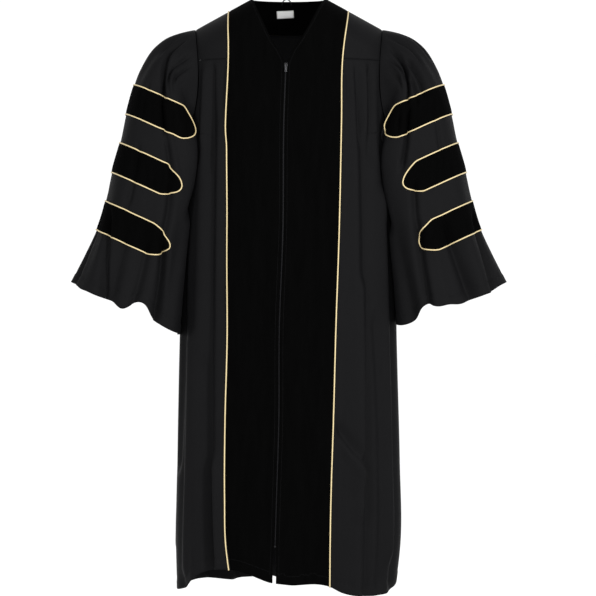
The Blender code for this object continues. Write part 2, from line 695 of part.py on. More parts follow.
def sleeve(side, label):
    """A bell sleeve, one tube from the armhole to the cuff."""
    shares = np.array([0, 0.05, 0.12, 0.20, 0.29, 0.38, 0.47, 0.56, 0.65, 0.735, 0.82, 0.91, 1.0])
    angle = sleeve_columns()
    along = shares[:, None] * cuff_reach(angle)[None, :]
    angles = np.broadcast_to(angle, along.shape)
    points = sleeve_point(angles, along, side)
    return wall(f"sleeve_{label}", points, sleeve_normal(angles, along, side), CLOTH_WALL, GOWN_CLOTH, ring=True)


def sleeve_level(point):
    """How far down the sleeve's axis a point lies, from the shoulder."""
    return (np.abs(point[..., 0]) - SHOULDER_HALF) * math.sin(SLEEVE_TILT) + (
        -point[..., 2] - SHOULDER_DROP) * math.cos(SLEEVE_TILT)


def on_level(angle, level, side):
    """Where along the sleeve the cloth at an angle reaches a level, by halving."""
    low = np.full(np.broadcast(angle, level).shape, 0.02)
    high = np.full(low.shape, 1.0)
    for _ in range(24):
        half = 0.5 * (low + high)
        past = sleeve_level(sleeve_point(angle, half, side)) > level
        high = np.where(past, half, high)
        low = np.where(past, low, half)
    return 0.5 * (low + high)


def bar_profile(share):
    """Half width of a bar, as a share, at a share of its half length."""
    end = np.clip((np.abs(share) - (1 - BAR_ROUND)) / BAR_ROUND, 0, 1)
    return np.sqrt(np.clip(1 - end ** 2, 0.03, 1))


def bar_span(index, side):
    """A bar's middle angle and half its turn round the sleeve."""
    bar = BARS[index]
    front = math.radians(bar.left_tip if side > 0 else bar.right_tip)
    back = -math.radians(bar.back_tip)
    return 0.5 * (front + back), 0.5 * (front - back)


def bar_shares(index, side):
    """Shares of a bar's half length, back to front: at the sleeve's own columns, then closer at its round ends."""
    middle, half = bar_span(index, side)
    inner = (sleeve_columns() - middle) / half
    inner = inner[np.abs(inner) < 0.83]
    ends = np.array([0.88, 0.94, 0.98, 1.0])
    return np.concatenate([-ends[::-1], inner, ends])


def on_bar(index, side, share, across):
    """Angle and place along the sleeve of a point of a bar: a share of its half length, and metres across it."""
    middle, half = bar_span(index, side)
    angle = middle + half * share
    return angle, on_level(angle, BAR_TOP + index * BAR_PITCH + across, side)


def velvet_bar(index, side, label):
    """One velvet bar, laid on the sleeve."""
    share = np.stack([bar_shares(index, side)] * 3)
    across = 0.5 * BAR_WIDTH * bar_profile(share) * np.linspace(-1, 1, 3)[:, None]
    angle, along = on_bar(index, side, share, across)
    way = sleeve_normal(angle, along, side)
    lift = 0.5 * (CLOTH_WALL + VELVET_WALL) + SEAM_GAP + SLEEVE_LIFT
    points = sleeve_point(angle, along, side) + way * lift
    return wall(f"velvet_bar_{label}_{index + 1}", points, way, VELVET_WALL, VELVET)


def bar_piping(index, side, label):
    """The gold cord round one bar, beside its edge."""
    shares = bar_shares(index, side)
    half = 0.5 * BAR_WIDTH * bar_profile(shares)
    edge = np.column_stack([np.append(shares, shares[::-1]) * BAR_HALF_LENGTH, np.append(-half, half[::-1])])
    run = unit(np.roll(edge, -1, 0) - edge) + unit(edge - np.roll(edge, 1, 0))
    out = unit(np.column_stack([run[:, 1], -run[:, 0]]))
    edge = edge + out * (PIPING_RADIUS + 4 * SEAM_GAP)
    angle, along = on_bar(index, side, edge[:, 0] / BAR_HALF_LENGTH, edge[:, 1])
    lift = 0.5 * CLOTH_WALL + PIPING_RADIUS + SEAM_GAP + SLEEVE_LIFT
    points = sleeve_point(angle, along, side) + sleeve_normal(angle, along, side) * lift
    return cord(f"bar_piping_{label}_{index + 1}", points, PIPING_RADIUS, GOLD_CORD, closed=True)


def front_piping(side, label):
    """The gold cord over the seam between the velvet and the side front."""
    drops = np.concatenate([[0.036, 0.040, 0.050, 0.065, 0.085, 0.115], np.linspace(0.147, LEVEL_DROP, 5),
                            np.linspace(LEVEL_DROP, 1.27, 11)[1:]])
    x = piping_line(side, drops)
    angles = front_angle(x, np.maximum(drops, SECTIONS[0].drop))
    hem = float(front_hem(angles[-1]))
    drops = np.append(drops, hem)
    angles = np.append(angles, front_angle(piping_line(side, hem), hem))
    lift = 0.5 * VELVET_WALL + PIPING_RADIUS + SEAM_GAP + LIFT
    points = body_point(angles, drops) + body_normal(angles, drops) * lift
    return cord(f"front_piping_{label}", points, PIPING_RADIUS, GOLD_CORD)


def neck_piping():
    """The gold cord along the lower edge of the neck band, over the back."""
    turn = np.linspace(0.09, math.pi - 0.09, 17)
    x, drop = band_edge(turn)
    angles = back_angle(x, SECTIONS[0].drop)
    lift = 0.5 * VELVET_WALL + PIPING_RADIUS + SEAM_GAP + LIFT
    points = body_point(angles, drop) + body_normal(angles, drop) * lift
    return cord("neck_piping", points, PIPING_RADIUS, GOLD_CORD)


def zip_grid(low, high, offset, top, bottom):
    """Angles and drops of a strip beside the zip line."""
    drops = np.linspace(top, bottom, 14)
    middle = smooth_read(SEAMS, "drop", "zip_line", drops) + offset
    angles = between(front_angle(middle + low, drops), front_angle(middle + high, drops), (0, 1))
    return angles, np.repeat(drops[:, None], 2, axis=1)


def zip_strip(name, low, high, inset, thickness, finish, top=ZIP_TOP, bottom=ZIP_END):
    """A strip of the zip, inset from the middle of the velvet's wall."""
    angles, drops = zip_grid(low, high, 0.0, top, bottom)
    way = body_normal(angles, drops)
    return wall(name, body_point(angles, drops) - way * inset, way, thickness, finish)


def zip_front():
    """The zip's chain, tapes, slider, pull and stop."""
    tape_inset = 0.5 * VELVET_WALL + SEAM_GAP + 0.5 * TAPE_WALL + SEAM_GAP
    zip_strip("zip_chain", -0.5 * CHAIN_WIDTH, 0.5 * CHAIN_WIDTH, CHAIN_INSET, CHAIN_WALL, ZIP_CHAIN,
              top=SLIDER_DROP + 0.5 * SLIDER_SIZE[2] + SEAM_GAP, bottom=ZIP_END - STOP_SIZE[2])
    for side, label in ((-1, "right"), (1, "left")):
        near, far = sorted((side * 0.0004, side * TAPE_WIDTH))
        zip_strip(f"zip_tape_{label}", near, far, tape_inset, TAPE_WALL, ZIP_TAPE)
    place, lean = zip_place(ZIP_END - 0.5 * STOP_SIZE[2] + SEAM_GAP)
    half = 0.5 * np.array(STOP_SIZE)
    outline = [(-half[0], -half[1]), (half[0], -half[1]), (half[0], half[1]), (-half[0], half[1])]
    prism("zip_stop", outline, half[2], place, lean)
    place, lean = zip_place(SLIDER_DROP)
    prism("zip_slider", slider_outline(), 0.5 * SLIDER_SIZE[2], place, lean)
    zip_pull(place, lean)


def slider_outline():
    """The slider from above: its plate in front of the velvet, and its narrower part between the velvet edges."""
    plate, neck = 0.5 * SLIDER_SIZE[0], 0.5 * SLIDER_NECK[0]
    back = -0.5 * VELVET_WALL - SEAM_GAP
    front = back - SLIDER_SIZE[1]
    inside = back + SLIDER_NECK[1]
    return [(-plate, front), (plate, front), (plate, back), (neck, back),
            (neck, inside), (-neck, inside), (-neck, back), (-plate, back)]


def zip_place(drop):
    """A point on the zip line in the middle of the velvet's wall, and how the zip leans there."""
    middle = smooth_read(SEAMS, "drop", "zip_line", drop)
    angle = front_angle(middle, drop)
    place = Vector(body_point(angle, drop))
    below = Vector(body_point(front_angle(middle, drop + 0.01), drop + 0.01)) - place
    lean = Vector((0, 0, -1)).rotation_difference(below).to_matrix()
    return place, lean


def prism(name, outline, half, place, lean):
    """A metal block with an outline as x and y, as high as twice half, its edges eased, leaning with the zip."""
    shape = bmesh.new()
    face = shape.faces.new([shape.verts.new((x, y, -half)) for x, y in outline])
    grown = bmesh.ops.extrude_face_region(shape, geom=[face])
    top = [part for part in grown["geom"] if isinstance(part, bmesh.types.BMVert)]
    bmesh.ops.translate(shape, vec=(0, 0, 2 * half), verts=top)
    bmesh.ops.recalc_face_normals(shape, faces=shape.faces)
    bmesh.ops.bevel(shape, geom=shape.edges[:], offset=METAL_EASE, segments=1, affect="EDGES", profile=0.5)
    bmesh.ops.rotate(shape, matrix=lean, verts=shape.verts)
    bmesh.ops.translate(shape, vec=place, verts=shape.verts)
    mesh = bpy.data.meshes.new(name)
    shape.to_mesh(mesh)
    shape.free()
    return make_object(name, mesh, ZIP_METAL)


def pull_outline():
    """The pull tab's outline from its pin down, as x and z: narrow at the eye, round at the foot."""
    wide = 0.5 * PULL_SIZE[0]
    neck = 0.62 * wide
    turn = np.linspace(0, math.pi, 7)
    foot = [(wide * math.cos(t), -PULL_SIZE[2] + wide - wide * math.sin(t)) for t in turn]
    return [(-neck, PULL_EYE), (neck, PULL_EYE)] + foot


def zip_pull(place, lean):
    """The pull tab, hanging from its pin in front of the slider. Its origin is on the pin."""
    shape = bmesh.new()
    half = 0.5 * PULL_SIZE[1]
    front = [shape.verts.new((x, -half, z)) for x, z in pull_outline()]
    face = shape.faces.new(front)
    grown = bmesh.ops.extrude_face_region(shape, geom=[face])
    back = [part for part in grown["geom"] if isinstance(part, bmesh.types.BMVert)]
    bmesh.ops.translate(shape, vec=(0, 2 * half, 0), verts=back)
    bmesh.ops.recalc_face_normals(shape, faces=shape.faces)
    mesh = bpy.data.meshes.new("zip_pull")
    shape.to_mesh(mesh)
    shape.free()
    pull = make_object("zip_pull", mesh, ZIP_METAL)
    face = 0.5 * VELVET_WALL + SEAM_GAP + SLIDER_SIZE[1]
    pin = place + lean @ Vector((0, -face - PULL_OUT, PIN_RISE))
    pull.location = pin
    pull.rotation_euler = (PULL_LEAN, 0, 0)
    return pull


def neck_label():
    """The blank label sewn inside the back of the neck, a little askew."""
    shares = np.linspace(-0.5, 0.5, 7)
    across, down = np.meshgrid(shares * LABEL_SIZE[0], np.array([-0.5, 0.0, 0.5]) * LABEL_SIZE[1])
    x = LABEL_MIDDLE + across * math.cos(LABEL_TURN) - down * math.sin(LABEL_TURN)
    drop = LABEL_DROP + down * math.cos(LABEL_TURN) + across * math.sin(LABEL_TURN)
    angles = back_angle(x, SECTIONS[0].drop)
    way = body_normal(angles, drop)
    inset = 0.5 * (VELVET_WALL + LABEL_WALL) + SEAM_GAP + LABEL_ROOM
    return wall("neck_label", body_point(angles, drop) - way * inset, way, LABEL_WALL, LABEL_CLOTH)


def hanging_loop():
    """The cord loop that stands up from the middle of the back neckline."""
    turn = np.linspace(0, math.pi, 11)
    x = LOOP_MIDDLE + 0.5 * LOOP_WIDTH * np.cos(turn)
    edge = body_point(back_angle(x, SECTIONS[0].drop), np.full(turn.shape, -1.0))
    way = body_normal(back_angle(x, SECTIONS[0].drop), np.full(turn.shape, LOOP_ROOT))
    root = 0.5 * VELVET_WALL + LOOP_RADIUS + SEAM_GAP + LIFT
    points = edge - way * np.array([1, 1, 0]) * root
    points[:, 2] += -LOOP_ROOT + (LOOP_HEIGHT + LOOP_ROOT) * np.sin(turn)
    return cord("hanging_loop", points, LOOP_RADIUS, ZIP_TAPE)


def main():
    """Builds the gown, piece by piece."""
    clear_scene()
    for side, label in ((-1, "right"), (1, "left")):
        velvet_front(side, label)
        front_yoke(side, label)
        side_front(side, label)
        sleeve(side, label)
        front_piping(side, label)
        for index in range(BAR_COUNT):
            velvet_bar(index, side, label)
            bar_piping(index, side, label)
    neck_band()
    back_yoke()
    back_body()
    neck_piping()
    zip_front()
    neck_label()
    hanging_loop()


main()
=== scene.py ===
"""The finished look of a hollow doctoral gown: cloth, velvet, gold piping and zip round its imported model.

Metres, +Z up, the front faces -Y. A drop is a distance down from the neck, so that z = -drop. Right and
left are the wearer's, so the right side is at -X.
"""
import logging
import math
from collections.abc import Callable, Sequence
from dataclasses import dataclass, field
from enum import Enum

import bpy
import numpy as np
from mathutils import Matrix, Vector


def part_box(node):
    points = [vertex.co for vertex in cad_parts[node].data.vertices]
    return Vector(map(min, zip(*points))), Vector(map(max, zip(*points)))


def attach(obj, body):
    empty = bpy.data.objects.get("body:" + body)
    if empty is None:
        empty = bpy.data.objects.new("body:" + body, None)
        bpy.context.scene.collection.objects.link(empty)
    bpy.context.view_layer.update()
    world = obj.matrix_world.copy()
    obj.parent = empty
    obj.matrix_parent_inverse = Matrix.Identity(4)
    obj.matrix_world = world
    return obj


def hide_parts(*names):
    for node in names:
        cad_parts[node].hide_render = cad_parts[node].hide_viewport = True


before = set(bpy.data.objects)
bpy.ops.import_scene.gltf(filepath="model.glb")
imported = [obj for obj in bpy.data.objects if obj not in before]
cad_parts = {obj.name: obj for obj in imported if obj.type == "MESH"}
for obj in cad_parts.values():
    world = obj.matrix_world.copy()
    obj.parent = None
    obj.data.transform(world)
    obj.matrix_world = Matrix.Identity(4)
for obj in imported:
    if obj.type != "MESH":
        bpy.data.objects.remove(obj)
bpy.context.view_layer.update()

LOG = logging.getLogger("gown")
Array = np.ndarray


class Side(Enum):
    """A side of the gown, as its wearer names it."""

    RIGHT = -1
    LEFT = 1

    @property
    def word(self) -> str:
        """The side's name in piece names."""
        return self.name.lower()


@dataclass(frozen=True)
class Section:
    """Half widths and depths of the body at one height."""

    drop: float
    right: float
    left: float
    front: float
    back: float


@dataclass(frozen=True)
class Seams:
    """Where the front's long seams cross one height."""

    drop: float
    zip_line: float
    right: float
    left: float


@dataclass(frozen=True)
class Edge:
    """Where the two edges of the neck opening cross one height."""

    drop: float
    right: float
    left: float


@dataclass(frozen=True)
class Hem:
    """How low the front hem hangs at one angle."""

    angle: float
    drop: float


@dataclass(frozen=True)
class Fold:
    """A long fold of the body, from the yoke to the hem."""

    top_angle: float
    hem_angle: float
    spread: float
    depth: float
    start: float


@dataclass(frozen=True)
class Wave:
    """A soft wave of a cuff's edge: how far the cloth reaches past it, as a share of the sleeve's length."""

    angle: float
    spread: float
    reach: float


@dataclass(frozen=True)
class Crease:
    """A short soft trough, or a ridge where its depth is positive.

    Its line runs through three angles, in degrees, from one place down the cloth to another.
    """

    first: float
    middle: float
    last: float
    start: float
    end: float
    spread: float
    depth: float


@dataclass(frozen=True)
class SleeveRow:
    """A section of the sleeve: its outer line, its underarm seam and its half depth."""

    out: float
    out_drop: float
    seam: float
    seam_drop: float
    depth: float


@dataclass(frozen=True)
class SleeveFold:
    """A fold of the sleeve, at the cap and at the cuff."""

    cap_angle: float
    cuff_angle: float
    spread: float
    cap_depth: float
    cuff_depth: float


@dataclass(frozen=True)
class BarTips:
    """How far one bar reaches round each sleeve, in degrees: to the front, and to the back."""

    right: float
    left: float
    back: float


def rows(kind: type, table: Sequence[tuple]) -> tuple:
    """Makes one record of a kind from each row of a table."""
    return tuple(kind(*row) for row in table)


SECTIONS = rows(Section, (
    (0.136, 0.234, 0.234, 0.116, 0.122), (0.3, 0.236, 0.236, 0.128, 0.13),
    (0.5, 0.243, 0.243, 0.136, 0.137), (0.78, 0.2505, 0.247, 0.145, 0.15),
    (1.06, 0.256, 0.254, 0.153, 0.163), (1.24, 0.259, 0.256, 0.158, 0.172),
    (1.36, 0.256, 0.243, 0.16, 0.176),
))
SEAMS = rows(Seams, (
    (0.034, -0.004, -0.1365, 0.1345), (0.144, -0.006, -0.1353, 0.1205), (0.29, -0.011, -0.141, 0.1175),
    (0.53, -0.013, -0.1405, 0.1123), (0.76, -0.021, -0.1368, 0.1045), (0.96, -0.022, -0.1412, 0.099),
    (1.13, -0.027, -0.1418, 0.0935), (1.235, -0.03, -0.1392, 0.0916), (1.32, -0.032, -0.129, 0.0909),
))
NECK_EDGES = rows(Edge, (
    (0, -0.084, 0.084), (0.028, -0.074, 0.068), (0.066, -0.057, 0.049), (0.112, -0.0345, 0.0215),
    (0.132, -0.0205, 0.008), (0.158, -0.0085, -0.0035),
))
FRONT_HEM = rows(Hem, (
    (-90, 1.35), (-76, 1.344), (-66, 1.325), (-58, 1.298), (-42, 1.29), (-14, 1.317), (0, 1.322),
    (30, 1.326), (42, 1.345), (62, 1.352), (78, 1.34), (90, 1.325),
))
FOLDS = rows(Fold, (
    (-57.5, -47.5, 2.8, 0.005, 0.15), (-62, -54.5, 2.8, -0.009, 0.15), (-66.5, -63, 3.4, 0.005, 0.15),
    (-73, -73, 3.8, -0.006, 0.62), (55, 47, 3, 0.0055, 0.15), (60, 54.5, 2.8, -0.008, 0.15),
    (65.5, 66, 3.6, 0.0045, 0.15), (49, 37, 3.6, -0.0045, 0.62),
))
SLEEVE_ROWS = rows(SleeveRow, (
    (0.215, 0.07, 0.238, 0.3, 0.074), (0.264, 0.0815, 0.218, 0.308, 0.086),
    (0.308, 0.1125, 0.202, 0.318, 0.097), (0.337, 0.158, 0.193, 0.332, 0.105),
    (0.356, 0.208, 0.188, 0.354, 0.11), (0.372, 0.268, 0.187, 0.388, 0.113),
    (0.384, 0.326, 0.193, 0.428, 0.115), (0.401, 0.386, 0.203, 0.478, 0.117),
    (0.415, 0.45, 0.213, 0.536, 0.12), (0.435, 0.52, 0.223, 0.604, 0.123),
    (0.465, 0.586, 0.232, 0.676, 0.127), (0.497, 0.648, 0.24, 0.752, 0.131),
))
SLEEVE_FOLDS = rows(SleeveFold, (
    (34, 40, 9, -0.007, -0.006), (62, 74, 9, -0.0075, -0.011), (92, 108, 10, 0.004, 0.013),
    (118, 132, 9, -0.005, -0.013), (-34, -38, 9, -0.0065, -0.007), (-62, -72, 10, 0.005, 0.01),
    (-92, -106, 9, -0.0065, -0.012), (-120, -140, 11, 0.004, 0.011),
))
BARS = rows(BarTips, (
    (134, 131, 122), (119, 111, 108), (119, 108, 104),
))
BODY_CREASES = rows(Crease, (
    (-63, -62.5, -61, 0.14, 0.42, 2, -0.0105), (-72, -70.5, -69, 0.14, 0.4, 2.2, -0.0094),
    (-67.5, -66.5, -65, 0.14, 0.36, 2, 0.0053), (-56, -55.5, -54, 0.14, 0.3, 1.7, -0.0041),
    (-77.5, -76, -76.5, 0.15, 0.34, 2, -0.006), (-50.5, -50, -50.5, 0.3, 0.74, 2.5, -0.0046),
    (-60, -57.5, -52, 0.8, 1.36, 3, -0.0106), (-70, -69, -71.5, 0.74, 1.34, 3.9, 0.01),
    (-52, -49, -45, 1.02, 1.36, 2.5, 0.0087), (-80, -79, -82, 0.55, 1.1, 3.6, -0.01),
    (57.5, 57.5, 56.5, 0.14, 0.36, 2, -0.0069), (66, 64.5, 62, 0.14, 0.4, 2.2, -0.0085),
    (61.5, 61, 60, 0.14, 0.34, 1.9, 0.0045), (72, 71, 69, 0.145, 0.38, 2, -0.0069),
    (51.5, 51.5, 50.5, 0.14, 0.28, 1.6, -0.0036), (35.5, 46, 58, 0.94, 1.085, 2.9, -0.0081),
    (38, 47, 55, 0.985, 1.12, 2.6, 0.0045), (55, 53, 48, 0.62, 1.2, 3, 0.0087),
    (63, 64.5, 62, 0.7, 1.36, 3, -0.0106), (74, 75, 73, 0.48, 1.36, 3.9, -0.0117),
    (69, 70, 68.5, 0.42, 1.3, 3, 0.0087), (-24, -22, -19, 0.35, 1.25, 6, -0.0028),
    (-9, -10.5, -12, 0.55, 1.34, 4.3, 0.0024), (21, 19, 14, 0.4, 1.3, 5.5, -0.0028),
    (8, 5, 2, 0.7, 1.34, 3.8, 0.0022), (-162, -161, -158, 0.155, 0.46, 2.4, -0.0081),
    (-148, -149.5, -150, 0.155, 0.36, 2.2, -0.0098), (-136, -136, -138, 0.155, 0.52, 2.6, -0.006),
    (-124, -125, -123, 0.155, 0.34, 2.2, -0.0085), (-171, -170, -166, 0.7, 1.36, 3.1, -0.0073),
    (-142, -140, -143, 0.6, 1.3, 3.6, 0.0077), (-112, -110, -108, 0.45, 1.36, 3.6, -0.0105),
    (-101, -102, -99, 0.7, 1.3, 3.8, 0.0081), (165, 166.5, 168, 0.155, 0.4, 2.3, -0.0094),
    (153, 152, 153, 0.155, 0.5, 2.4, -0.0069), (141, 142, 140, 0.155, 0.33, 2.2, -0.009),
    (128, 127, 125, 0.155, 0.44, 2.4, -0.0073), (174, 175, 172, 0.8, 1.3, 3.1, 0.006),
    (146, 143, 147, 0.55, 1.36, 3.4, -0.0081), (118, 116, 113, 0.5, 1.36, 3.6, 0.009),
    (104, 103, 101, 0.42, 1.3, 3.6, -0.0101),
))
SLEEVE_CREASES = {
    Side.RIGHT: rows(Crease, (
        (58, 66, 76, 0.03, 0.24, 2.4, -0.0091), (72, 78, 84, 0.03, 0.2, 2.2, -0.0078),
        (100, 106, 112, 0.14, 0.34, 2.8, -0.0073), (52, 56, 60, 0.26, 0.48, 2.8, -0.006),
        (30, 58, 87, 0.05, 0.32, 3.8, -0.0187), (48, 74, 98, 0.04, 0.28, 4.5, 0.0054),
        (86, 95, 104, 0.05, 0.26, 3.8, -0.0078), (8, 15, 20, 0.03, 0.3, 3, -0.0068),
        (20, 34, 46, 0.05, 0.2, 2.6, -0.004), (66, 80, 92, 0.22, 0.46, 3.3, -0.0156),
        (90, 101, 112, 0.42, 0.64, 3.7, -0.0078), (82, 99, 118, 0.26, 0.62, 4.5, 0.0039),
        (107, 111, 109, 0.58, 0.82, 3.8, -0.0118), (132, 144, 137, 0.1, 0.72, 5.2, -0.017),
        (109, 121, 127, 0.76, 1.06, 4.5, -0.0242), (44, 58, 73, 0.74, 1.06, 4.1, -0.0187),
        (78, 84, 89, 0.76, 1.06, 8, 0.0084), (60, 66, 63, 0.5, 0.78, 3.4, -0.0074),
        (20, 27, 31, 0.7, 1.04, 3.8, -0.0103), (94, 99, 96, 0.78, 1.05, 3.4, -0.0086),
        (-30, -56, -82, 0.05, 0.34, 3.8, -0.0127), (-90, -98, -106, 0.05, 0.26, 3.8, -0.0057),
        (-12, -22, -34, 0.05, 0.22, 2.8, -0.0036), (-66, -88, -110, 0.26, 0.62, 3.8, -0.0127),
        (-136, -146, -138, 0.12, 0.7, 5.2, -0.0127), (-108, -121, -127, 0.76, 1.06, 4.5, -0.0173),
        (-48, -60, -72, 0.76, 1.06, 4.1, -0.0127), (-84, -88, -92, 0.74, 1.06, 7, 0.0075),
    )),
    Side.LEFT: rows(Crease, (
        (60, 70, 80, 0.03, 0.22, 2.4, -0.0091), (30, 40, 50, 0.03, 0.24, 2.4, -0.0073),
        (80, 88, 96, 0.05, 0.24, 2.4, -0.0065), (100, 104, 110, 0.2, 0.4, 2.8, -0.0065),
        (56, 60, 62, 0.4, 0.6, 2.8, -0.0052), (42, 72, 94, 0.04, 0.32, 3.5, -0.02),
        (54, 84, 102, 0.03, 0.28, 4.4, 0.0054), (53, 59, 63, 0.1, 0.36, 3, -0.013),
        (66, 72, 76, 0.16, 0.38, 3, -0.0074), (10, 20, 26, 0.03, 0.26, 3, -0.0068),
        (96, 138, 139, 0.04, 0.76, 5.2, -0.0177), (86, 98, 113, 0.28, 0.58, 3.6, -0.013),
        (98, 104, 107, 0.58, 0.8, 3.8, -0.0114), (103, 110, 115, 0.72, 1.06, 4.5, -0.0177),
        (76, 73, 69, 0.74, 1.05, 4.5, -0.0103), (35, 43, 51, 0.76, 1.06, 4.1, -0.0143),
        (56, 59, 62, 0.78, 1.06, 7, 0.006), (90, 94, 96, 0.76, 1.06, 5.5, 0.0051),
        (16, 12, 14, 0.72, 1.04, 3.8, -0.0086), (-34, -62, -86, 0.05, 0.32, 3.8, -0.0131),
        (-84, -96, -104, 0.05, 0.26, 3.8, -0.0055), (-16, -24, -30, 0.03, 0.24, 2.8, -0.006),
        (-72, -92, -112, 0.28, 0.6, 3.8, -0.0118), (-132, -145, -139, 0.12, 0.72, 5.2, -0.0127),
        (-104, -118, -125, 0.74, 1.06, 4.5, -0.0164), (-44, -55, -66, 0.78, 1.06, 4.1, -0.0118),
        (-80, -84, -90, 0.72, 1.06, 7, 0.0069),
    )),
}
CUFF_WAVES = {
    Side.RIGHT: rows(Wave, (
        (62, 16, 0.006), (106, 12, -0.026), (90, 8, 0.016), (44, 7, 0.004), (117, 6, 0.006),
        (-48, 9, 0.008), (-74, 10, -0.007), (-100, 18, -0.018),
    )),
    Side.LEFT: rows(Wave, (
        (62, 16, 0.007), (116, 11, -0.03), (180, 44, -0.036), (50, 7, 0.004), (82, 8, 0.005),
        (96, 7, -0.005), (-58, 9, 0.008), (-80, 9, -0.006), (-112, 16, -0.056), (-180, 44, -0.036),
    )),
}
BAR_LENGTHS = (0.46, 0.44, 0.43)
PULL_LEAN = math.radians(4.0)


def between(values: Array, slopes: Array, low: Array, t: Array, step: Array | float = 1.0) -> Array:
    """Reads a smooth curve between the values that it runs through.

    Args:
        values: The values.
        slopes: The curve's slope at each.
        low: The number of the value before each place.
        t: How far past that value the place lies, as a share of the way to the next.
        step: The length of that way.

    Returns:
        The curve's values.
    """
    first = (2 * t ** 3 - 3 * t ** 2 + 1) * values[low] + (t ** 3 - 2 * t ** 2 + t) * step * slopes[low]
    last = (3 * t ** 2 - 2 * t ** 3) * values[low + 1] + (t ** 3 - t ** 2) * step * slopes[low + 1]
    return first + last


def smooth_read(table: Sequence, key: str, name: str, at: Array) -> Array:
    """Reads a smooth curve through a table's column, level past both ends.

    Args:
        table: Rows in the order of their key.
        key: The column that the curve runs along.
        name: The column that is read.
        at: Places along the key.

    Returns:
        The column's values at those places.
    """
    keys = np.array([getattr(row, key) for row in table], float)
    values = np.array([getattr(row, name) for row in table], float)
    at = np.asarray(at, float)
    low = np.clip(np.searchsorted(keys, at) - 1, 0, len(keys) - 2)
    step = keys[low + 1] - keys[low]
    return between(values, np.gradient(values, keys), low, np.clip((at - keys[low]) / step, 0, 1), step)


def section(first: Array, one: str, other: str, drop: Array) -> Array:
    """Reads one column of the body's sections where a test holds, and another where it does not.

    Args:
        first: The test, for each place.
        one: The column that is read where it holds.
        other: The column that is read elsewhere.
        drop: The drop of each place.

    Returns:
        The half widths or depths.
    """
    return np.where(first, smooth_read(SECTIONS, "drop", one, drop),
                    smooth_read(SECTIONS, "drop", other, drop))


def ease(value: Array) -> Array:
    """Turns a share into one with a soft start and end."""
    t = np.clip(value, 0, 1)
    return t * t * (3 - 2 * t)


def bump(distance: Array, spread: float) -> Array:
    """Gives a soft ridge, 1 at its middle."""
    return np.exp(-(distance / spread) ** 2)


def unit(vector: Array) -> Array:
    """Gives vectors of length one."""
    return vector / np.maximum(np.linalg.norm(vector, axis=-1, keepdims=True), 1e-12)


def across_rows(first: Array, last: Array, shares: Array) -> Array:
    """Fills rows between two edges.

    Args:
        first: The value at the first edge, for each row.
        last: The value at the last edge, for each row.
        shares: The place of each column between the edges, 0 to 1.

    Returns:
        One row for each value of an edge, with a column for each share.
    """
    first = np.asarray(first, float)[:, None]
    return first + (np.asarray(last, float)[:, None] - first) * np.asarray(shares, float)[None, :]


def crease_lift(creases: Sequence[Crease], degrees: Array, place: Array, fade: float) -> Array:
    """Adds up the lift of short creases.

    Args:
        creases: The creases.
        degrees: The angles of the cloth's points.
        place: How far down the cloth they lie, in the creases' own measure.
        fade: The length over which a crease comes and goes.

    Returns:
        How far each point is pushed out.
    """
    lift = np.zeros(np.broadcast(degrees, place).shape)
    for crease in creases:
        t = np.clip((place - crease.start) / (crease.end - crease.start), 0, 1)
        line = (crease.first * (1 - t) * (1 - 2 * t) + 4 * crease.middle * t * (1 - t)
                + crease.last * t * (2 * t - 1))
        there = ease((place - crease.start) / fade) * ease((crease.end - place) / fade)
        lift = lift + crease.depth * there * bump(degrees - line, crease.spread)
    return lift


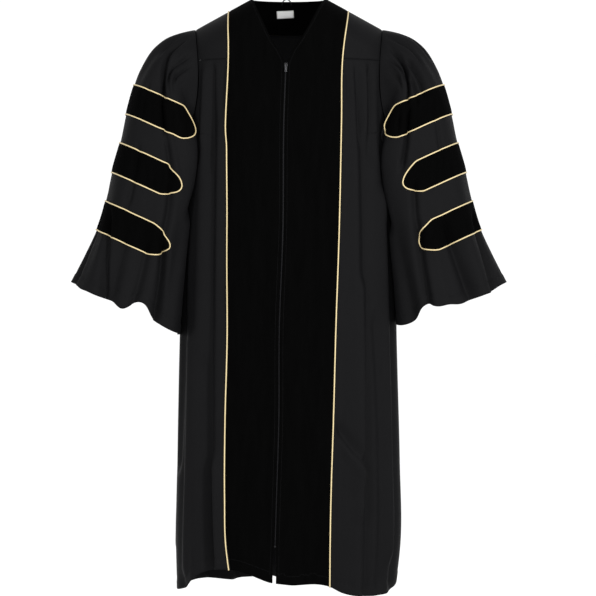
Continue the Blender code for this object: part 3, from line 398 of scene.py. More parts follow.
class BodyForm:
    """The body of the gown as one surface, read by angle from the middle of the front and by drop."""

    seam_gap = 0.0003
    neck_half = 0.084
    back_neck_depth = 0.072
    back_neck_rise = 0.006
    shoulder_half = 0.214
    shoulder_drop = 0.070
    piping_at_shoulder = 0.136
    front_roll = 0.075
    back_roll = 0.115
    band_drop = 0.066
    front_yoke_drop = 0.147
    back_yoke_drop = 0.160
    armhole_drop = 0.300
    armhole_waist = 0.205
    back_hem_drop = 1.350
    roundness = 2.4
    flute_count = 7
    flute_depth = 0.0085
    flute_half_angle = 62.0
    zip_top = 0.158
    zip_end = 1.238
    zip_opening = 0.0050
    step = 0.0004
    side_turn = 0.5 * math.pi + 0.0006
    crease_fade = 0.05
    plain_side = 26.0
    plain_side_fade = 9.0
    plain_drop = 0.42
    plain_drop_fade = 0.08
    fold_fade = 0.22
    flute_drift = 17.0
    flute_side_fade = 12.0
    flute_fade = 0.16

    def __init__(self, creases: Sequence[Crease] = ()) -> None:
        """Takes the short creases that lie over the long folds."""
        self.creases = tuple(creases)

    def radius(self, angle: Array, drop: Array) -> Array:
        """Gives how far the section reaches at an angle, without folds."""
        side = section(np.sin(angle) < 0, "right", "left", drop)
        deep = section(np.cos(angle) > 0, "front", "back", drop)
        power = self.roundness
        share = (np.abs(np.sin(angle)) / side) ** power + (np.abs(np.cos(angle)) / deep) ** power
        return share ** (-1 / power)

    def angle_at(self, x: Array, drop: Array, behind: bool = False) -> Array:
        """Finds the angle of a section's point.

        Args:
            x: The point's distance from the middle.
            drop: The section's drop.
            behind: Whether the point lies at the back.

        Returns:
            The angle from the middle of the front.
        """
        x = np.asarray(x, float)
        drop = np.maximum(drop, SECTIONS[0].drop)
        side = section(x < 0, "right", "left", drop)
        deep = smooth_read(SECTIONS, "drop", "back" if behind else "front", drop)
        share = np.clip(np.abs(x) / side, 0, 1)
        reach = deep * (1 - share ** self.roundness) ** (1 / self.roundness)
        return np.arctan2(x, -reach if behind else reach)

    def shoulder_line(self, x: Array) -> Array:
        """Gives the drop of the shoulder seam at x."""
        slope = self.shoulder_drop / (self.shoulder_half - self.neck_half)
        return np.clip((np.abs(x) - self.neck_half) * slope, 0, None)

    def back_neck(self, x: Array) -> Array:
        """Gives the depth of the back neckline at x, as a share."""
        return np.sqrt(np.clip(1 - (x / self.neck_half) ** 2, 0, 1))

    def lift(self, angle: Array, drop: Array) -> Array:
        """Gives how far folds, flutes and creases push the cloth out."""
        degrees = np.degrees(angle)
        down = np.clip(drop / self.back_hem_drop, 0, 1)
        at_armhole = (ease((self.plain_side - np.abs(np.abs(degrees) - 90)) / self.plain_side_fade)
                      * ease((self.plain_drop - drop) / self.plain_drop_fade))
        lift = crease_lift(self.creases, degrees, drop, self.crease_fade) * (1 - at_armhole)
        for fold in FOLDS:
            middle = fold.top_angle + (fold.hem_angle - fold.top_angle) * down
            grown = ease((drop - fold.start) / self.fold_fade) * (0.75 + 0.5 * down)
            lift = lift + fold.depth * grown * bump(degrees - middle, fold.spread)
        from_back = np.where(degrees > 0, 180 - degrees, -180 - degrees)
        turn = from_back / self.flute_half_angle * math.pi * self.flute_count
        flute = np.cos(turn + 0.5 * np.sin(from_back / self.flute_drift))
        edge = ease((self.flute_half_angle - np.abs(from_back)) / self.flute_side_fade)
        grown = ease((drop - self.back_yoke_drop + 0.01) / self.flute_fade) * (0.7 + 0.6 * down)
        return lift + self.flute_depth * flute * edge * grown * (np.cos(angle) < 0)

    def point(self, angle: Array, drop: Array) -> Array:
        """Gives points of the cloth; above the chest it rolls in to the shoulder seam and the neckline."""
        angle = np.asarray(angle, float)
        drop = np.asarray(drop, float)
        x = self.radius(angle, np.maximum(drop, SECTIONS[0].drop)) * np.sin(angle)
        at_back = np.cos(angle) < 0
        neck = np.where(at_back, self.back_neck(x), 0)
        in_neck = at_back & (np.abs(x) < self.neck_half)
        ridge = np.where(in_neck, -self.back_neck_rise * neck, self.shoulder_line(x))
        drop = np.maximum(drop, ridge)
        radius = self.radius(angle, drop) + self.lift(angle, drop)
        x = radius * np.sin(angle)
        deep = -radius * np.cos(angle)
        start = np.where(at_back, self.back_neck_depth * neck + self.seam_gap, -self.seam_gap)
        roll = np.clip((drop - ridge) / np.where(at_back, self.back_roll, self.front_roll), 0, 1)
        y = start + (deep - start) * np.sqrt(1 - (1 - roll) ** 2)
        return np.stack([x, y, -drop], -1)

    def normal(self, angle: Array, drop: Array) -> Array:
        """Gives the way out of the cloth."""
        here = self.point(angle, drop)
        below = self.point(angle, -here[..., 2] + self.step)
        across = self.point(angle + self.step, drop) - self.point(angle - self.step, drop)
        return unit(np.cross(below - here, across))

    def armhole_half(self, drop: Array) -> Array:
        """Gives the half width of the body at the armhole seam."""
        middle = 0.5 * (self.shoulder_drop + self.armhole_drop)
        share = np.clip((middle - drop) / (middle - self.shoulder_drop), 0, 1)
        upper = self.armhole_waist + (self.shoulder_half - self.armhole_waist) * share ** 2
        side = smooth_read(SECTIONS, "drop", "right", self.armhole_drop)
        turn = np.clip((drop - middle) / (self.armhole_drop - middle), 0, 1)
        lower = self.armhole_waist + (side - self.armhole_waist) * (1 - np.sqrt(1 - turn ** 2))
        return np.where(drop < middle, upper, lower)

    def armhole_drops(self, start: float, count: int) -> Array:
        """Gives drops round the armhole, from a seam at the drop start to the underarm."""
        middle = 0.5 * (self.shoulder_drop + self.armhole_drop)
        first = math.acos((middle - start) / (self.armhole_drop - middle))
        return middle - (self.armhole_drop - middle) * np.cos(np.linspace(first, math.pi, count))

    def armhole(self, angle: Array, side: Side) -> tuple[Array, Array]:
        """Reads the armhole seam.

        Args:
            angle: 0 at the shoulder, positive to the front, half a turn under the arm.
            side: The side of the gown.

        Returns:
            Points of the seam, and the way out of the body there.
        """
        middle = 0.5 * (self.shoulder_drop + self.armhole_drop)
        drop = middle - (self.armhole_drop - middle) * np.cos(angle)
        half = self.armhole_half(drop) * side.value
        turned = np.where(np.sin(angle) >= 0, self.angle_at(half, drop),
                          self.angle_at(half, drop, behind=True))
        return self.point(turned, drop), self.normal(turned, drop)

    def piping_line(self, side: Side, drop: Array) -> Array:
        """Gives x of the seam between the velvet and the side front."""
        return smooth_read(SEAMS, "drop", side.word, drop)

    def opening_edge(self, side: Side, drop: Array) -> Array:
        """Gives x of a velvet panel's inner edge: the neck, the zip, and the vent below the zip."""
        neck = smooth_read(NECK_EDGES, "drop", side.word, drop)
        vent = 0.0012 * ease((drop - self.zip_end) / 0.08)
        edge = smooth_read(SEAMS, "drop", "zip_line", drop) + side.value * (0.5 * self.zip_opening + vent)
        return np.where(drop < NECK_EDGES[-1].drop, neck, edge)

    def front_hem(self, angle: Array) -> Array:
        """Gives the drop of the front hem."""
        return smooth_read(FRONT_HEM, "angle", "drop", np.degrees(angle))

    def back_hem(self, angle: Array) -> Array:
        """Gives the drop of the back hem, level but for its waves."""
        from_back = np.pi - np.abs(angle)
        side = np.where(angle < 0, FRONT_HEM[0].drop, FRONT_HEM[-1].drop)
        level = self.back_hem_drop + 0.004 * np.cos(9 * from_back)
        return side + (level - side) * ease((np.pi / 2 - from_back) / 0.35)

    def band_edge(self, turn: Array) -> tuple[Array, Array]:
        """Gives x and drop of the neck band's lower edge, for a turn of 0 to pi from left to right."""
        x = self.piping_at_shoulder * np.cos(turn)
        start = self.shoulder_line(self.piping_at_shoulder)
        return x, start + (self.band_drop - start) * np.clip(np.sin(turn), 0, 1) ** 0.8


class SleeveForm:
    """A bell sleeve as one surface.

    Its angle is 0 outside and positive to the front. Its place along is 0 at the armhole and 1 at the cuff.
    """

    roundness = 3.0
    clearance = 0.0065
    cap_share = 0.13
    tilt = math.radians(25.0)
    bar_top = 0.210
    bar_pitch = 0.1335
    crease_fade = 0.07
    plain_angle = 78.0
    plain_angle_fade = 20.0
    plain_along = 0.36
    plain_along_fade = 0.14
    joint_gap = 0.0006

    def __init__(self, body: BodyForm, side: Side, creases: Sequence[Crease] = ()) -> None:
        """Takes the body that it joins, its side, and the short creases over its folds."""
        self.body = body
        self.side = side
        self.creases = tuple(creases)

    def lift(self, angle: Array, along: Array) -> Array:
        """Gives how far gathers and folds push the cloth out."""
        degrees = np.degrees(angle)
        under_arm = (ease((np.abs(degrees) - self.plain_angle) / self.plain_angle_fade)
                     * ease((self.plain_along - along) / self.plain_along_fade))
        lift = crease_lift(self.creases, degrees, along, self.crease_fade) * (1 - under_arm)
        for fold in SLEEVE_FOLDS:
            middle = fold.cap_angle + (fold.cuff_angle - fold.cap_angle) * along
            at_cap, at_cuff = bump(along - 0.2, 0.18), ease((along - 0.55) / 0.45)
            depth = fold.cap_depth * at_cap + fold.cuff_depth * at_cuff
            lift = lift + depth * bump(degrees - middle, fold.spread)
        return lift * ease(along / 0.08)

    def cuff_reach(self, angle: Array) -> Array:
        """Gives how far down the cloth goes: the cuff's waves, and its fall under the arm."""
        degrees = np.degrees(angle)
        under = 0.020 * ease((np.abs(degrees) - 100) / 45)
        waves = sum(wave.reach * bump(degrees - wave.angle, wave.spread) for wave in CUFF_WAVES[self.side])
        return 1 + under + waves

    def point(self, angle: Array, along: Array) -> Array:
        """Gives points of the cloth."""
        angle = np.asarray(angle, float)
        along = np.asarray(along, float)
        count = len(SLEEVE_ROWS) - 1
        row = along * count
        past = np.clip(row - count, 0, None)
        whole = np.clip(row, 0, count)
        low = np.clip(np.floor(whole).astype(int), 0, count - 1)
        t = whole - low
        read = {}
        for name in ("out", "out_drop", "seam", "seam_drop", "depth"):
            values = np.array([getattr(step, name) for step in SLEEVE_ROWS])
            read[name] = between(values, np.gradient(values), low, t) + past * (values[-1] - values[-2])
        half = 0.5 * np.hypot(read["out"] - read["seam"], read["out_drop"] - read["seam_drop"])
        power = self.roundness
        wide = (np.abs(np.cos(angle)) / half) ** power + (np.abs(np.sin(angle)) / read["depth"]) ** power
        reach = wide ** (-1 / power) + self.lift(angle, along)
        across = reach * np.cos(angle) / half
        x = 0.5 * (read["out"] + read["seam"]) + 0.5 * across * (read["out"] - read["seam"])
        drop = (0.5 * (read["out_drop"] + read["seam_drop"])
                + 0.5 * across * (read["out_drop"] - read["seam_drop"]))
        y = -reach * np.sin(angle)
        x = self.keep_clear(x, y, drop)
        hole, way = self.body.armhole(angle, self.side)
        hole = hole + way * self.joint_gap + np.array([self.side.value * self.joint_gap, 0, 0])
        free = np.stack([self.side.value * x, y, -drop], -1)
        return hole + (free - hole) * ease(along / self.cap_share)[..., None]

    def keep_clear(self, x: Array, y: Array, drop: Array) -> Array:
        """Moves the half distance x out to just clear of the body's side at that depth."""
        wide = smooth_read(SECTIONS, "drop", self.side.word, drop)
        deep = section(y < 0, "front", "back", drop)
        power = self.body.roundness
        share = np.clip(np.abs(y) / deep, 0, 0.999)
        body = wide * (1 - share ** power) ** (1 / power)
        held = np.minimum(body, self.body.armhole_half(drop))
        body = np.where(drop < self.body.armhole_drop, held, body) + self.clearance
        soft = 0.003
        return body + soft * np.logaddexp(0, (x - body) / soft)

    def normal(self, angle: Array, along: Array) -> Array:
        """Gives the way out of the cloth."""
        step = 0.004
        across = self.point(angle + step, along) - self.point(angle - step, along)
        down = self.point(angle, along + step) - self.point(angle, np.maximum(along - step, 0))
        return unit(np.cross(across, down)) * self.side.value

    def level(self, point: Array) -> Array:
        """Gives how far down the sleeve's own axis a point lies, from the shoulder."""
        out = np.abs(point[..., 0]) - self.body.shoulder_half
        return out * math.sin(self.tilt) + (-point[..., 2] - self.body.shoulder_drop) * math.cos(self.tilt)

    def on_level(self, angle: Array, level: Array) -> Array:
        """Finds where along the sleeve the cloth at an angle reaches a level, by halving."""
        low = np.full(np.broadcast(angle, level).shape, 0.02)
        high = np.full(low.shape, 1.0)
        for _ in range(20):
            half = 0.5 * (low + high)
            past = self.level(self.point(angle, half)) > level
            high = np.where(past, half, high)
            low = np.where(past, low, half)
        return 0.5 * (low + high)

    def bar_span(self, index: int) -> tuple[float, float]:
        """Gives a bar's middle angle and half its turn round the sleeve."""
        tips = BARS[index]
        front = math.radians(getattr(tips, self.side.word))
        back = -math.radians(tips.back)
        return 0.5 * (front + back), 0.5 * (front - back)


@dataclass
class Socket:
    """A shader value, on which Python arithmetic adds Math nodes."""

    kit: "NodeKit"
    output: bpy.types.NodeSocket

    def _with(self, operation: str, *values: "Socket | float") -> "Socket":
        """Adds a Math node to this value's material."""
        sockets = {index: value for index, value in enumerate(values)}
        return self.kit.add("ShaderNodeMath", {"operation": operation}, sockets)

    def __add__(self, other: "Socket | float") -> "Socket":
        """Adds."""
        return self._with("ADD", self, other)

    __radd__ = __add__

    def __sub__(self, other: "Socket | float") -> "Socket":
        """Subtracts."""
        return self._with("SUBTRACT", self, other)

    def __rsub__(self, other: "Socket | float") -> "Socket":
        """Subtracts from a number."""
        return self._with("SUBTRACT", other, self)

    def __mul__(self, other: "Socket | float") -> "Socket":
        """Multiplies."""
        return self._with("MULTIPLY", self, other)

    __rmul__ = __mul__

    def sine(self) -> "Socket":
        """Takes the sine."""
        return self._with("SINE", self)

    def size(self) -> "Socket":
        """Takes the absolute value."""
        return self._with("ABSOLUTE", self)


class NodeKit:
    """One material's nodes, added by type with their settings first and their sockets after."""

    def __init__(self, name: str) -> None:
        """Starts an empty material with a Principled shader."""
        self.material = bpy.data.materials.new(name)
        self.material.use_nodes = True
        self.tree = self.material.node_tree
        self.shader = self.tree.nodes["Principled BSDF"]

    def add(self, kind: str, settings: dict, sockets: dict, output: int | str = 0) -> Socket:
        """Adds a node.

        Args:
            kind: The node's type.
            settings: Values of its properties; "ramp" gives a ramp's stops as pairs of place and colour.
            sockets: Values or Sockets, by input name or number.
            output: The output that is handed back.

        Returns:
            The chosen output.
        """
        node = self.tree.nodes.new(kind)
        for key, value in settings.items():
            if key == "ramp":
                stops = node.color_ramp.elements
                while len(stops) < len(value):
                    stops.new(1.0)
                for stop, (place, color) in zip(stops, value):
                    stop.position = place
                    stop.color = color
            else:
                setattr(node, key, value)
        for key, value in sockets.items():
            if isinstance(value, Socket):
                self.tree.links.new(value.output, node.inputs[key])
            else:
                node.inputs[key].default_value = value
        return Socket(self, node.outputs[output])

    def feed(self, name: str, value: Socket) -> None:
        """Links a value into the shader."""
        self.tree.links.new(value.output, self.shader.inputs[name])

    def fix(self, **values: float | tuple) -> None:
        """Sets the shader's constant sockets, named with underscores for spaces."""
        for name, value in values.items():
            self.shader.inputs[name.replace("_", " ")].default_value = value

    def noise(self, vector: Socket, scale: float, detail: float = 2.0, roughness: float = 0.5) -> Socket:
        """Adds a noise, 0 to 1."""
        return self.add("ShaderNodeTexNoise", {"noise_dimensions": "3D"},
                        {"Vector": vector, "Scale": scale, "Detail": detail, "Roughness": roughness}, "Fac")

    def stretch(self, vector: Socket, scale: tuple) -> Socket:
        """Scales a pattern's coordinates."""
        return self.add("ShaderNodeMapping", {}, {"Vector": vector, "Scale": scale}, "Vector")

    def blend(self, share: Socket, first: tuple, last: tuple) -> Socket:
        """Mixes two colours by a share."""
        return self.add("ShaderNodeMix", {"data_type": "RGBA"}, {0: share, 6: first, 7: last}, 2)

    def relief(self, height: Socket, distance: float, strength: float = 1.0) -> None:
        """Turns a height into a bump on the shader."""
        self.feed("Normal", self.add("ShaderNodeBump", {}, {
            "Height": height, "Distance": distance, "Strength": strength}, "Normal"))


@dataclass(frozen=True)
class GownCloth:
    """Smooth black gown cloth: a fine weave that takes soft long highlights."""

    color: tuple = (0.0038, 0.0038, 0.0041, 1.0)
    faded: tuple = (0.0060, 0.0060, 0.0064, 1.0)
    thread: float = 0.00042

    def build(self) -> bpy.types.Material:
        """Makes the material."""
        kit = NodeKit("gown_cloth")
        uv = kit.add("ShaderNodeTexCoord", {}, {}, "UV")
        parts = kit.add("ShaderNodeSeparateXYZ", {}, {"Vector": uv}, "X")
        down = Socket(kit, parts.output.node.outputs["Y"])
        turn = math.pi / self.thread
        slub = kit.noise(kit.stretch(uv, (260.0, 9.0, 1.0)), 3.0, 3.0, 0.6)
        cloud = kit.noise(uv, 14.0, 3.0, 0.55)
        weave = ((parts * turn).sine() * (down * turn).sine()).size()
        kit.feed("Base Color", kit.blend(slub * 0.55 + cloud * 0.35, self.color, self.faded))
        kit.feed("Roughness", cloud * 0.10 + 0.47)
        kit.relief(weave * 0.5 + slub * 0.9 + cloud * 1.6, 0.00022, 0.6)
        kit.fix(Sheen_Weight=0.004, Sheen_Roughness=0.38, Sheen_Tint=(0.80, 0.82, 0.90, 1.0),
                Specular_IOR_Level=0.018)
        return kit.material


@dataclass(frozen=True)
class Velvet:
    """Deep black velvet: a soft pile, darker than the cloth, that lights up only at its edges."""

    color: tuple = (0.0004, 0.0004, 0.0004, 1.0)
    brushed: tuple = (0.0013, 0.0013, 0.0013, 1.0)

    def build(self) -> bpy.types.Material:
        """Makes the material."""
        kit = NodeKit("velvet")
        place = kit.add("ShaderNodeTexCoord", {}, {}, "Object")
        pile = kit.noise(place, 1900.0, 2.0, 0.7)
        streak = kit.noise(kit.stretch(place, (70.0, 70.0, 12.0)), 1.0, 4.0, 0.6)
        kit.feed("Base Color", kit.blend(streak * 0.9 + pile * 0.25, self.color, self.brushed))
        kit.feed("Roughness", streak * 0.12 + 0.80)
        kit.relief(pile + streak * 2.0, 0.00030, 0.7)
        kit.fix(Sheen_Weight=0.002, Sheen_Roughness=0.30, Sheen_Tint=(0.75, 0.77, 0.85, 1.0),
                Specular_IOR_Level=0.008)
        return kit.material


@dataclass(frozen=True)
class GoldPiping:
    """Lustrous gold piping: satin wrapped on the bias over a core, with a painted highlight along its outward
    crest.
    """

    color: tuple = (0.13, 0.086, 0.015, 1.0)
    bright: tuple = (0.56, 0.46, 0.26, 1.0)
    wrap: float = 0.0016

    def build(self) -> bpy.types.Material:
        """Makes the material; its UV runs along the cord in metres, then once round it."""
        kit = NodeKit("gold_piping")
        uv = kit.add("ShaderNodeTexCoord", {}, {}, "UV")
        along = kit.add("ShaderNodeSeparateXYZ", {}, {"Vector": uv}, "X")
        turned = Socket(kit, along.output.node.outputs["Y"])
        rib = (along * (2 * math.pi / self.wrap) + turned * (2 * math.pi)).sine() * 0.5 + 0.5
        tone = kit.noise(kit.stretch(uv, (90.0, 1.0, 1.0)), 1.0, 3.0, 0.6)
        # painted highlight: the outward-facing side of the cord is coloured brighter than its flanks,
        # standing in for the light it catches
        painted_crest = (turned * math.pi).sine()
        kit.feed("Base Color", kit.blend(painted_crest * painted_crest * painted_crest * 0.9 + tone * 0.15 + rib * 0.1 - 0.12,
                                         self.color, self.bright))
        kit.feed("Roughness", tone * 0.16 + 0.30)
        kit.relief(rib + tone * 0.6, 0.00016, 0.8)
        kit.fix(Metallic=0.15, Sheen_Weight=0.03, Sheen_Roughness=0.30, Sheen_Tint=(1.0, 0.86, 0.58, 1.0),
                Specular_IOR_Level=0.25)
        return kit.material


@dataclass(frozen=True)
class DarkMetal:
    """Enamelled zip metal, rubbed a little bright where it is handled."""

    color: tuple = (0.012, 0.012, 0.013, 1.0)
    rubbed: tuple = (0.060, 0.060, 0.062, 1.0)

    def build(self) -> bpy.types.Material:
        """Makes the material."""
        kit = NodeKit("dark_metal")
        place = kit.add("ShaderNodeTexCoord", {}, {}, "Object")
        scuff = kit.noise(place, 420.0, 4.0, 0.7)
        stops = [(0.52, (0, 0, 0, 1)), (0.70, (1, 1, 1, 1))]
        worn = kit.add("ShaderNodeValToRGB", {"ramp": stops}, {"Fac": scuff})
        mask = kit.add("ShaderNodeRGBToBW", {}, {"Color": worn})
        kit.feed("Base Color", kit.blend(mask * 0.6, self.color, self.rubbed))
        kit.feed("Roughness", mask * 0.18 + 0.26)
        kit.relief(scuff, 0.00004)
        kit.fix(Metallic=0.85, Specular_IOR_Level=0.5)
        return kit.material


@dataclass(frozen=True)
class Grained:
    """A plain finish: two near shades mixed by a fine grain, which also sets its roughness and relief."""

    name: str
    color: tuple
    lighter: tuple
    grain: float
    roughness: tuple
    shader: dict
    relief: float = 0.0
    stretch: tuple = (1.0, 1.0, 1.0)
    rib: float = 0.0

    def build(self) -> bpy.types.Material:
        """Makes the material."""
        kit = NodeKit(self.name)
        place = kit.add("ShaderNodeTexCoord", {}, {}, "Object")
        grain = kit.noise(kit.stretch(place, self.stretch), self.grain)
        kit.feed("Base Color", kit.blend(grain, self.color, self.lighter))
        kit.feed("Roughness", grain * self.roughness[0] + self.roughness[1])
        height = grain
        if self.rib:
            down = kit.add("ShaderNodeSeparateXYZ", {}, {"Vector": place}, "Z")
            height = (down * (2 * math.pi / self.rib)).sine() * 0.5 + grain
        if self.relief:
            kit.relief(height, self.relief)
        kit.fix(**self.shader)
        return kit.material


WOVEN_TAPE = Grained("woven_tape", (0.0025, 0.0025, 0.0028, 1.0), (0.0045, 0.0045, 0.0050, 1.0), 1400.0,
                     (0.15, 0.68),
                     {"Sheen_Weight": 0.004, "Sheen_Roughness": 0.4, "Specular_IOR_Level": 0.03},
                     relief=0.00015, rib=0.0007)
ZIP_NYLON = Grained("zip_nylon", (0.0050, 0.0050, 0.0055, 1.0), (0.0090, 0.0090, 0.0100, 1.0), 900.0,
                    (0.12, 0.36), {"Specular_IOR_Level": 0.07}, relief=0.00006)
SATIN_LABEL = Grained("satin_label", (0.88, 0.88, 0.87, 1.0), (0.95, 0.95, 0.94, 1.0), 1.0,
                      (0.15, 0.38), {"Sheen_Weight": 0.15, "Sheen_Roughness": 0.3},
                      relief=0.00010, stretch=(60.0, 60.0, 900.0))
THREAD = Grained("thread", (0.0040, 0.0040, 0.0045, 1.0), (0.0090, 0.0090, 0.0100, 1.0), 2200.0,
                 (0.2, 0.6), {"Sheen_Weight": 0.01, "Sheen_Roughness": 0.3, "Specular_IOR_Level": 0.05})


class Finish(Enum):
    """The gown's finishes, each with a slot name and the finish that makes it."""

    CLOTH = ("gown_cloth", GownCloth())
    VELVET = ("velvet", Velvet())
    PIPING = ("gold_cord", GoldPiping())
    TAPE = ("zip_tape", WOVEN_TAPE)
    NYLON = ("zip_chain", ZIP_NYLON)
    METAL = ("zip_metal", DarkMetal())
    LABEL = ("label_cloth", SATIN_LABEL)
    THREAD = ("gown_cloth", THREAD)


def on_its_own(piece: bpy.types.Object) -> None:
    """Selects one object and makes it active, with everything else deselected."""
    bpy.ops.object.select_all(action="DESELECT")
    piece.select_set(True)
    bpy.context.view_layer.objects.active = piece


def distance_along(path: Array) -> Array:
    """Measures how far along a path each of its points lies."""
    return np.concatenate([[0], np.cumsum(np.linalg.norm(np.diff(path, axis=0), axis=1))])


def link_faces(count: int) -> Array:
    """Gives the faces of a row of small links, each of four rings of four points.

    Args:
        count: The number of links.

    Returns:
        For each link, four point numbers for each of its faces.
    """
    pattern = [[3, 2, 1, 0], [12, 13, 14, 15]]
    for ring in (0, 4, 8):
        for corner in range(4):
            step = (corner + 1) % 4
            pattern.append([ring + corner, ring + step, ring + 4 + step, ring + 4 + corner])
    return np.arange(count)[:, None, None] * 16 + np.array(pattern)[None]


class Workshop:
    """Makes the meshes of the gown's pieces and puts them on the gown."""

    body_name = "gown"

    def __init__(self) -> None:
        """Makes every finish once."""
        self.materials = {finish: finish.value[1].build() for finish in Finish}

    def fit(self, piece: bpy.types.Object, finish: Finish, replaces: Sequence[str] = (),
            body: str = body_name) -> bpy.types.Object:
        """Dresses a piece and lets it ride on a body.

        Args:
            piece: The piece.
            finish: Its finish.
            replaces: The CAD nodes that it stands for.
            body: The body that it moves with.

        Returns:
            The piece.
        """
        piece.data.materials.clear()
        piece.data.materials.append(self.materials[finish])
        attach(piece, body)
        if replaces:
            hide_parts(*replaces)
        faces = len(piece.data.polygons)
        LOG.info("%s: %d faces, finish %s", piece.name, faces, finish.name.lower())
        return piece

    def mesh(self, name: str, points: Array, faces: Array, uvs: Array | None = None) -> bpy.types.Object:
        """Makes a smooth mesh.

        Args:
            name: The piece's name.
            points: Its points, in rows of three.
            faces: Four point numbers for each face.
            uvs: Two numbers for each point.

        Returns:
            The piece.
        """
        mesh = bpy.data.meshes.new(name)
        mesh.from_pydata(points.tolist(), [], faces.tolist())
        if uvs is not None:
            layer = mesh.uv_layers.new(name="cut")
            layer.data.foreach_set("uv", uvs[faces.ravel()].astype(np.float32).ravel())
        mesh.shade_smooth()
        piece = bpy.data.objects.new(name, mesh)
        bpy.context.scene.collection.objects.link(piece)
        return piece

    def sheet(self, name: str, points: Array, out: Array, wall: float,
              ring: bool = False) -> bpy.types.Object:
        """Makes a sheet of cloth through a grid, with a turned edge and UVs in metres.

        Args:
            name: The piece's name.
            points: The grid, rows by columns by three.
            out: The way out of the cloth at each point.
            wall: The cloth's thickness.
            ring: Whether the last column joins the first.

        Returns:
            The piece, with a live Solidify.
        """
        rows, columns = points.shape[:2]
        if ring:
            points = np.concatenate([points, points[:, :1]], 1)
            out = np.concatenate([out, out[:, :1]], 1)
            columns += 1
        run = np.linalg.norm(np.diff(points, axis=1), axis=2)
        fall = np.linalg.norm(np.diff(points, axis=0), axis=2)
        middle = np.concatenate([[0], np.cumsum(fall[:, columns // 2])])
        u = np.concatenate([np.zeros((rows, 1)), np.cumsum(run, 1)], 1)
        u = u - u[:, columns // 2][:, None]
        uvs = np.stack([u, np.broadcast_to(-middle[:, None], u.shape)], -1).reshape(-1, 2)
        corner = (np.arange(rows - 1)[:, None] * columns + np.arange(columns - 1)[None, :]).ravel()
        faces = np.stack([corner, corner + 1, corner + columns + 1, corner + columns], -1)
        row, column = rows // 2, columns // 2
        here = points[row, column]
        facing = np.cross(points[row, column + 1] - here, points[row + 1, column] - here)
        if np.dot(facing, out[row, column]) < 0:
            faces = faces[:, ::-1]
        piece = self.mesh(name, points.reshape(-1, 3), faces, uvs)
        if ring:
            self.close_ring(piece)
        solid = piece.modifiers.new("wall", "SOLIDIFY")
        solid.thickness = wall
        solid.offset = 0.0
        solid.use_even_offset = False
        return piece

    def close_ring(self, piece: bpy.types.Object) -> None:
        """Joins the last column of a tube to its first."""
        on_its_own(piece)
        bpy.ops.object.mode_set(mode="EDIT")
        bpy.ops.mesh.select_all(action="SELECT")
        bpy.ops.mesh.remove_doubles(threshold=1e-6)
        bpy.ops.object.mode_set(mode="OBJECT")
        piece.select_set(False)

    def cord(self, name: str, path: Array, radius: float, closed: bool = False, sides: int = 10,
             out: Array | None = None) -> bpy.types.Object:
        """Makes a round cord along a path, with UVs in metres along it and one turn round it.

        Args:
            name: The piece's name.
            path: Its points, close together.
            radius: Its radius.
            closed: Whether its end joins its start.
            sides: The number of its sides.
            out: The way out of the cloth at each point, which half of a turn of the UVs faces.

        Returns:
            The piece.
        """
        count = len(path)
        if closed:
            run = unit(np.roll(path, -1, 0) - np.roll(path, 1, 0))
        else:
            run = unit(np.gradient(path, axis=0))
        if out is None:
            side = unit(np.cross(run, np.array([0.13, 0.31, 0.94])))
            for index in range(1, count):
                side[index] = unit(side[index - 1] - run[index] * np.dot(side[index - 1], run[index]))
        else:
            side = unit(np.cross(out, run))
        up = np.cross(run, side)
        turn = np.linspace(0, 2 * math.pi, sides, endpoint=False)
        ring = np.sin(turn)[None, :, None] * -side[:, None, :] - np.cos(turn)[None, :, None] * up[:, None, :]
        points = path[:, None, :] + radius * ring
        along = distance_along(path)
        turned = (turn / (2 * math.pi))[None, :]
        uvs = np.stack(np.broadcast_arrays(along[:, None], turned), -1).reshape(-1, 2)
        rows = np.arange(count if closed else count - 1)
        cells = np.arange(sides)
        low = (rows[:, None] * sides + cells[None, :]).ravel()
        low_next = (rows[:, None] * sides + (cells[None, :] + 1) % sides).ravel()
        high = ((rows[:, None] + 1) % count * sides + cells[None, :]).ravel()
        high_next = ((rows[:, None] + 1) % count * sides + (cells[None, :] + 1) % sides).ravel()
        faces = np.stack([low, low_next, high_next, high], -1)
        if not closed:
            faces = np.vstack([faces, self.cord_ends(count, sides)])
        return self.mesh(name, points.reshape(-1, 3), faces, uvs)

    def cord_ends(self, count: int, sides: int) -> Array:
        """Closes a cord's two ends with small fans of faces.

        Args:
            count: The number of points along the cord.
            sides: The number of its sides.

        Returns:
            Four point numbers for each face of the ends.
        """
        ends = []
        for base, turn_round in ((0, True), ((count - 1) * sides, False)):
            for index in range(sides // 2 - 1):
                near, far = base + index, base + sides - 1 - index
                quad = [near, far, far - 1, near + 1]
                ends.append(quad if turn_round else quad[::-1])
        return np.array(ends)


class Edges(Enum):
    """The edges of a grid of cloth."""

    TOP = "top"
    BOTTOM = "bottom"
    FIRST = "first"
    LAST = "last"


def edge_distance(points: Array, edge: Edges) -> Array:
    """Measures how far each point of a grid lies from one of its edges, along the cloth."""
    if edge in (Edges.FIRST, Edges.LAST):
        run = np.linalg.norm(np.diff(points, axis=1), axis=2)
        total = np.concatenate([np.zeros((len(points), 1)), np.cumsum(run, 1)], 1)
        return total if edge is Edges.FIRST else total[:, -1:] - total
    fall = np.linalg.norm(np.diff(points, axis=0), axis=2)
    total = np.concatenate([np.zeros((1, points.shape[1])), np.cumsum(fall, 0)], 0)
    return total if edge is Edges.TOP else total[-1:] - total


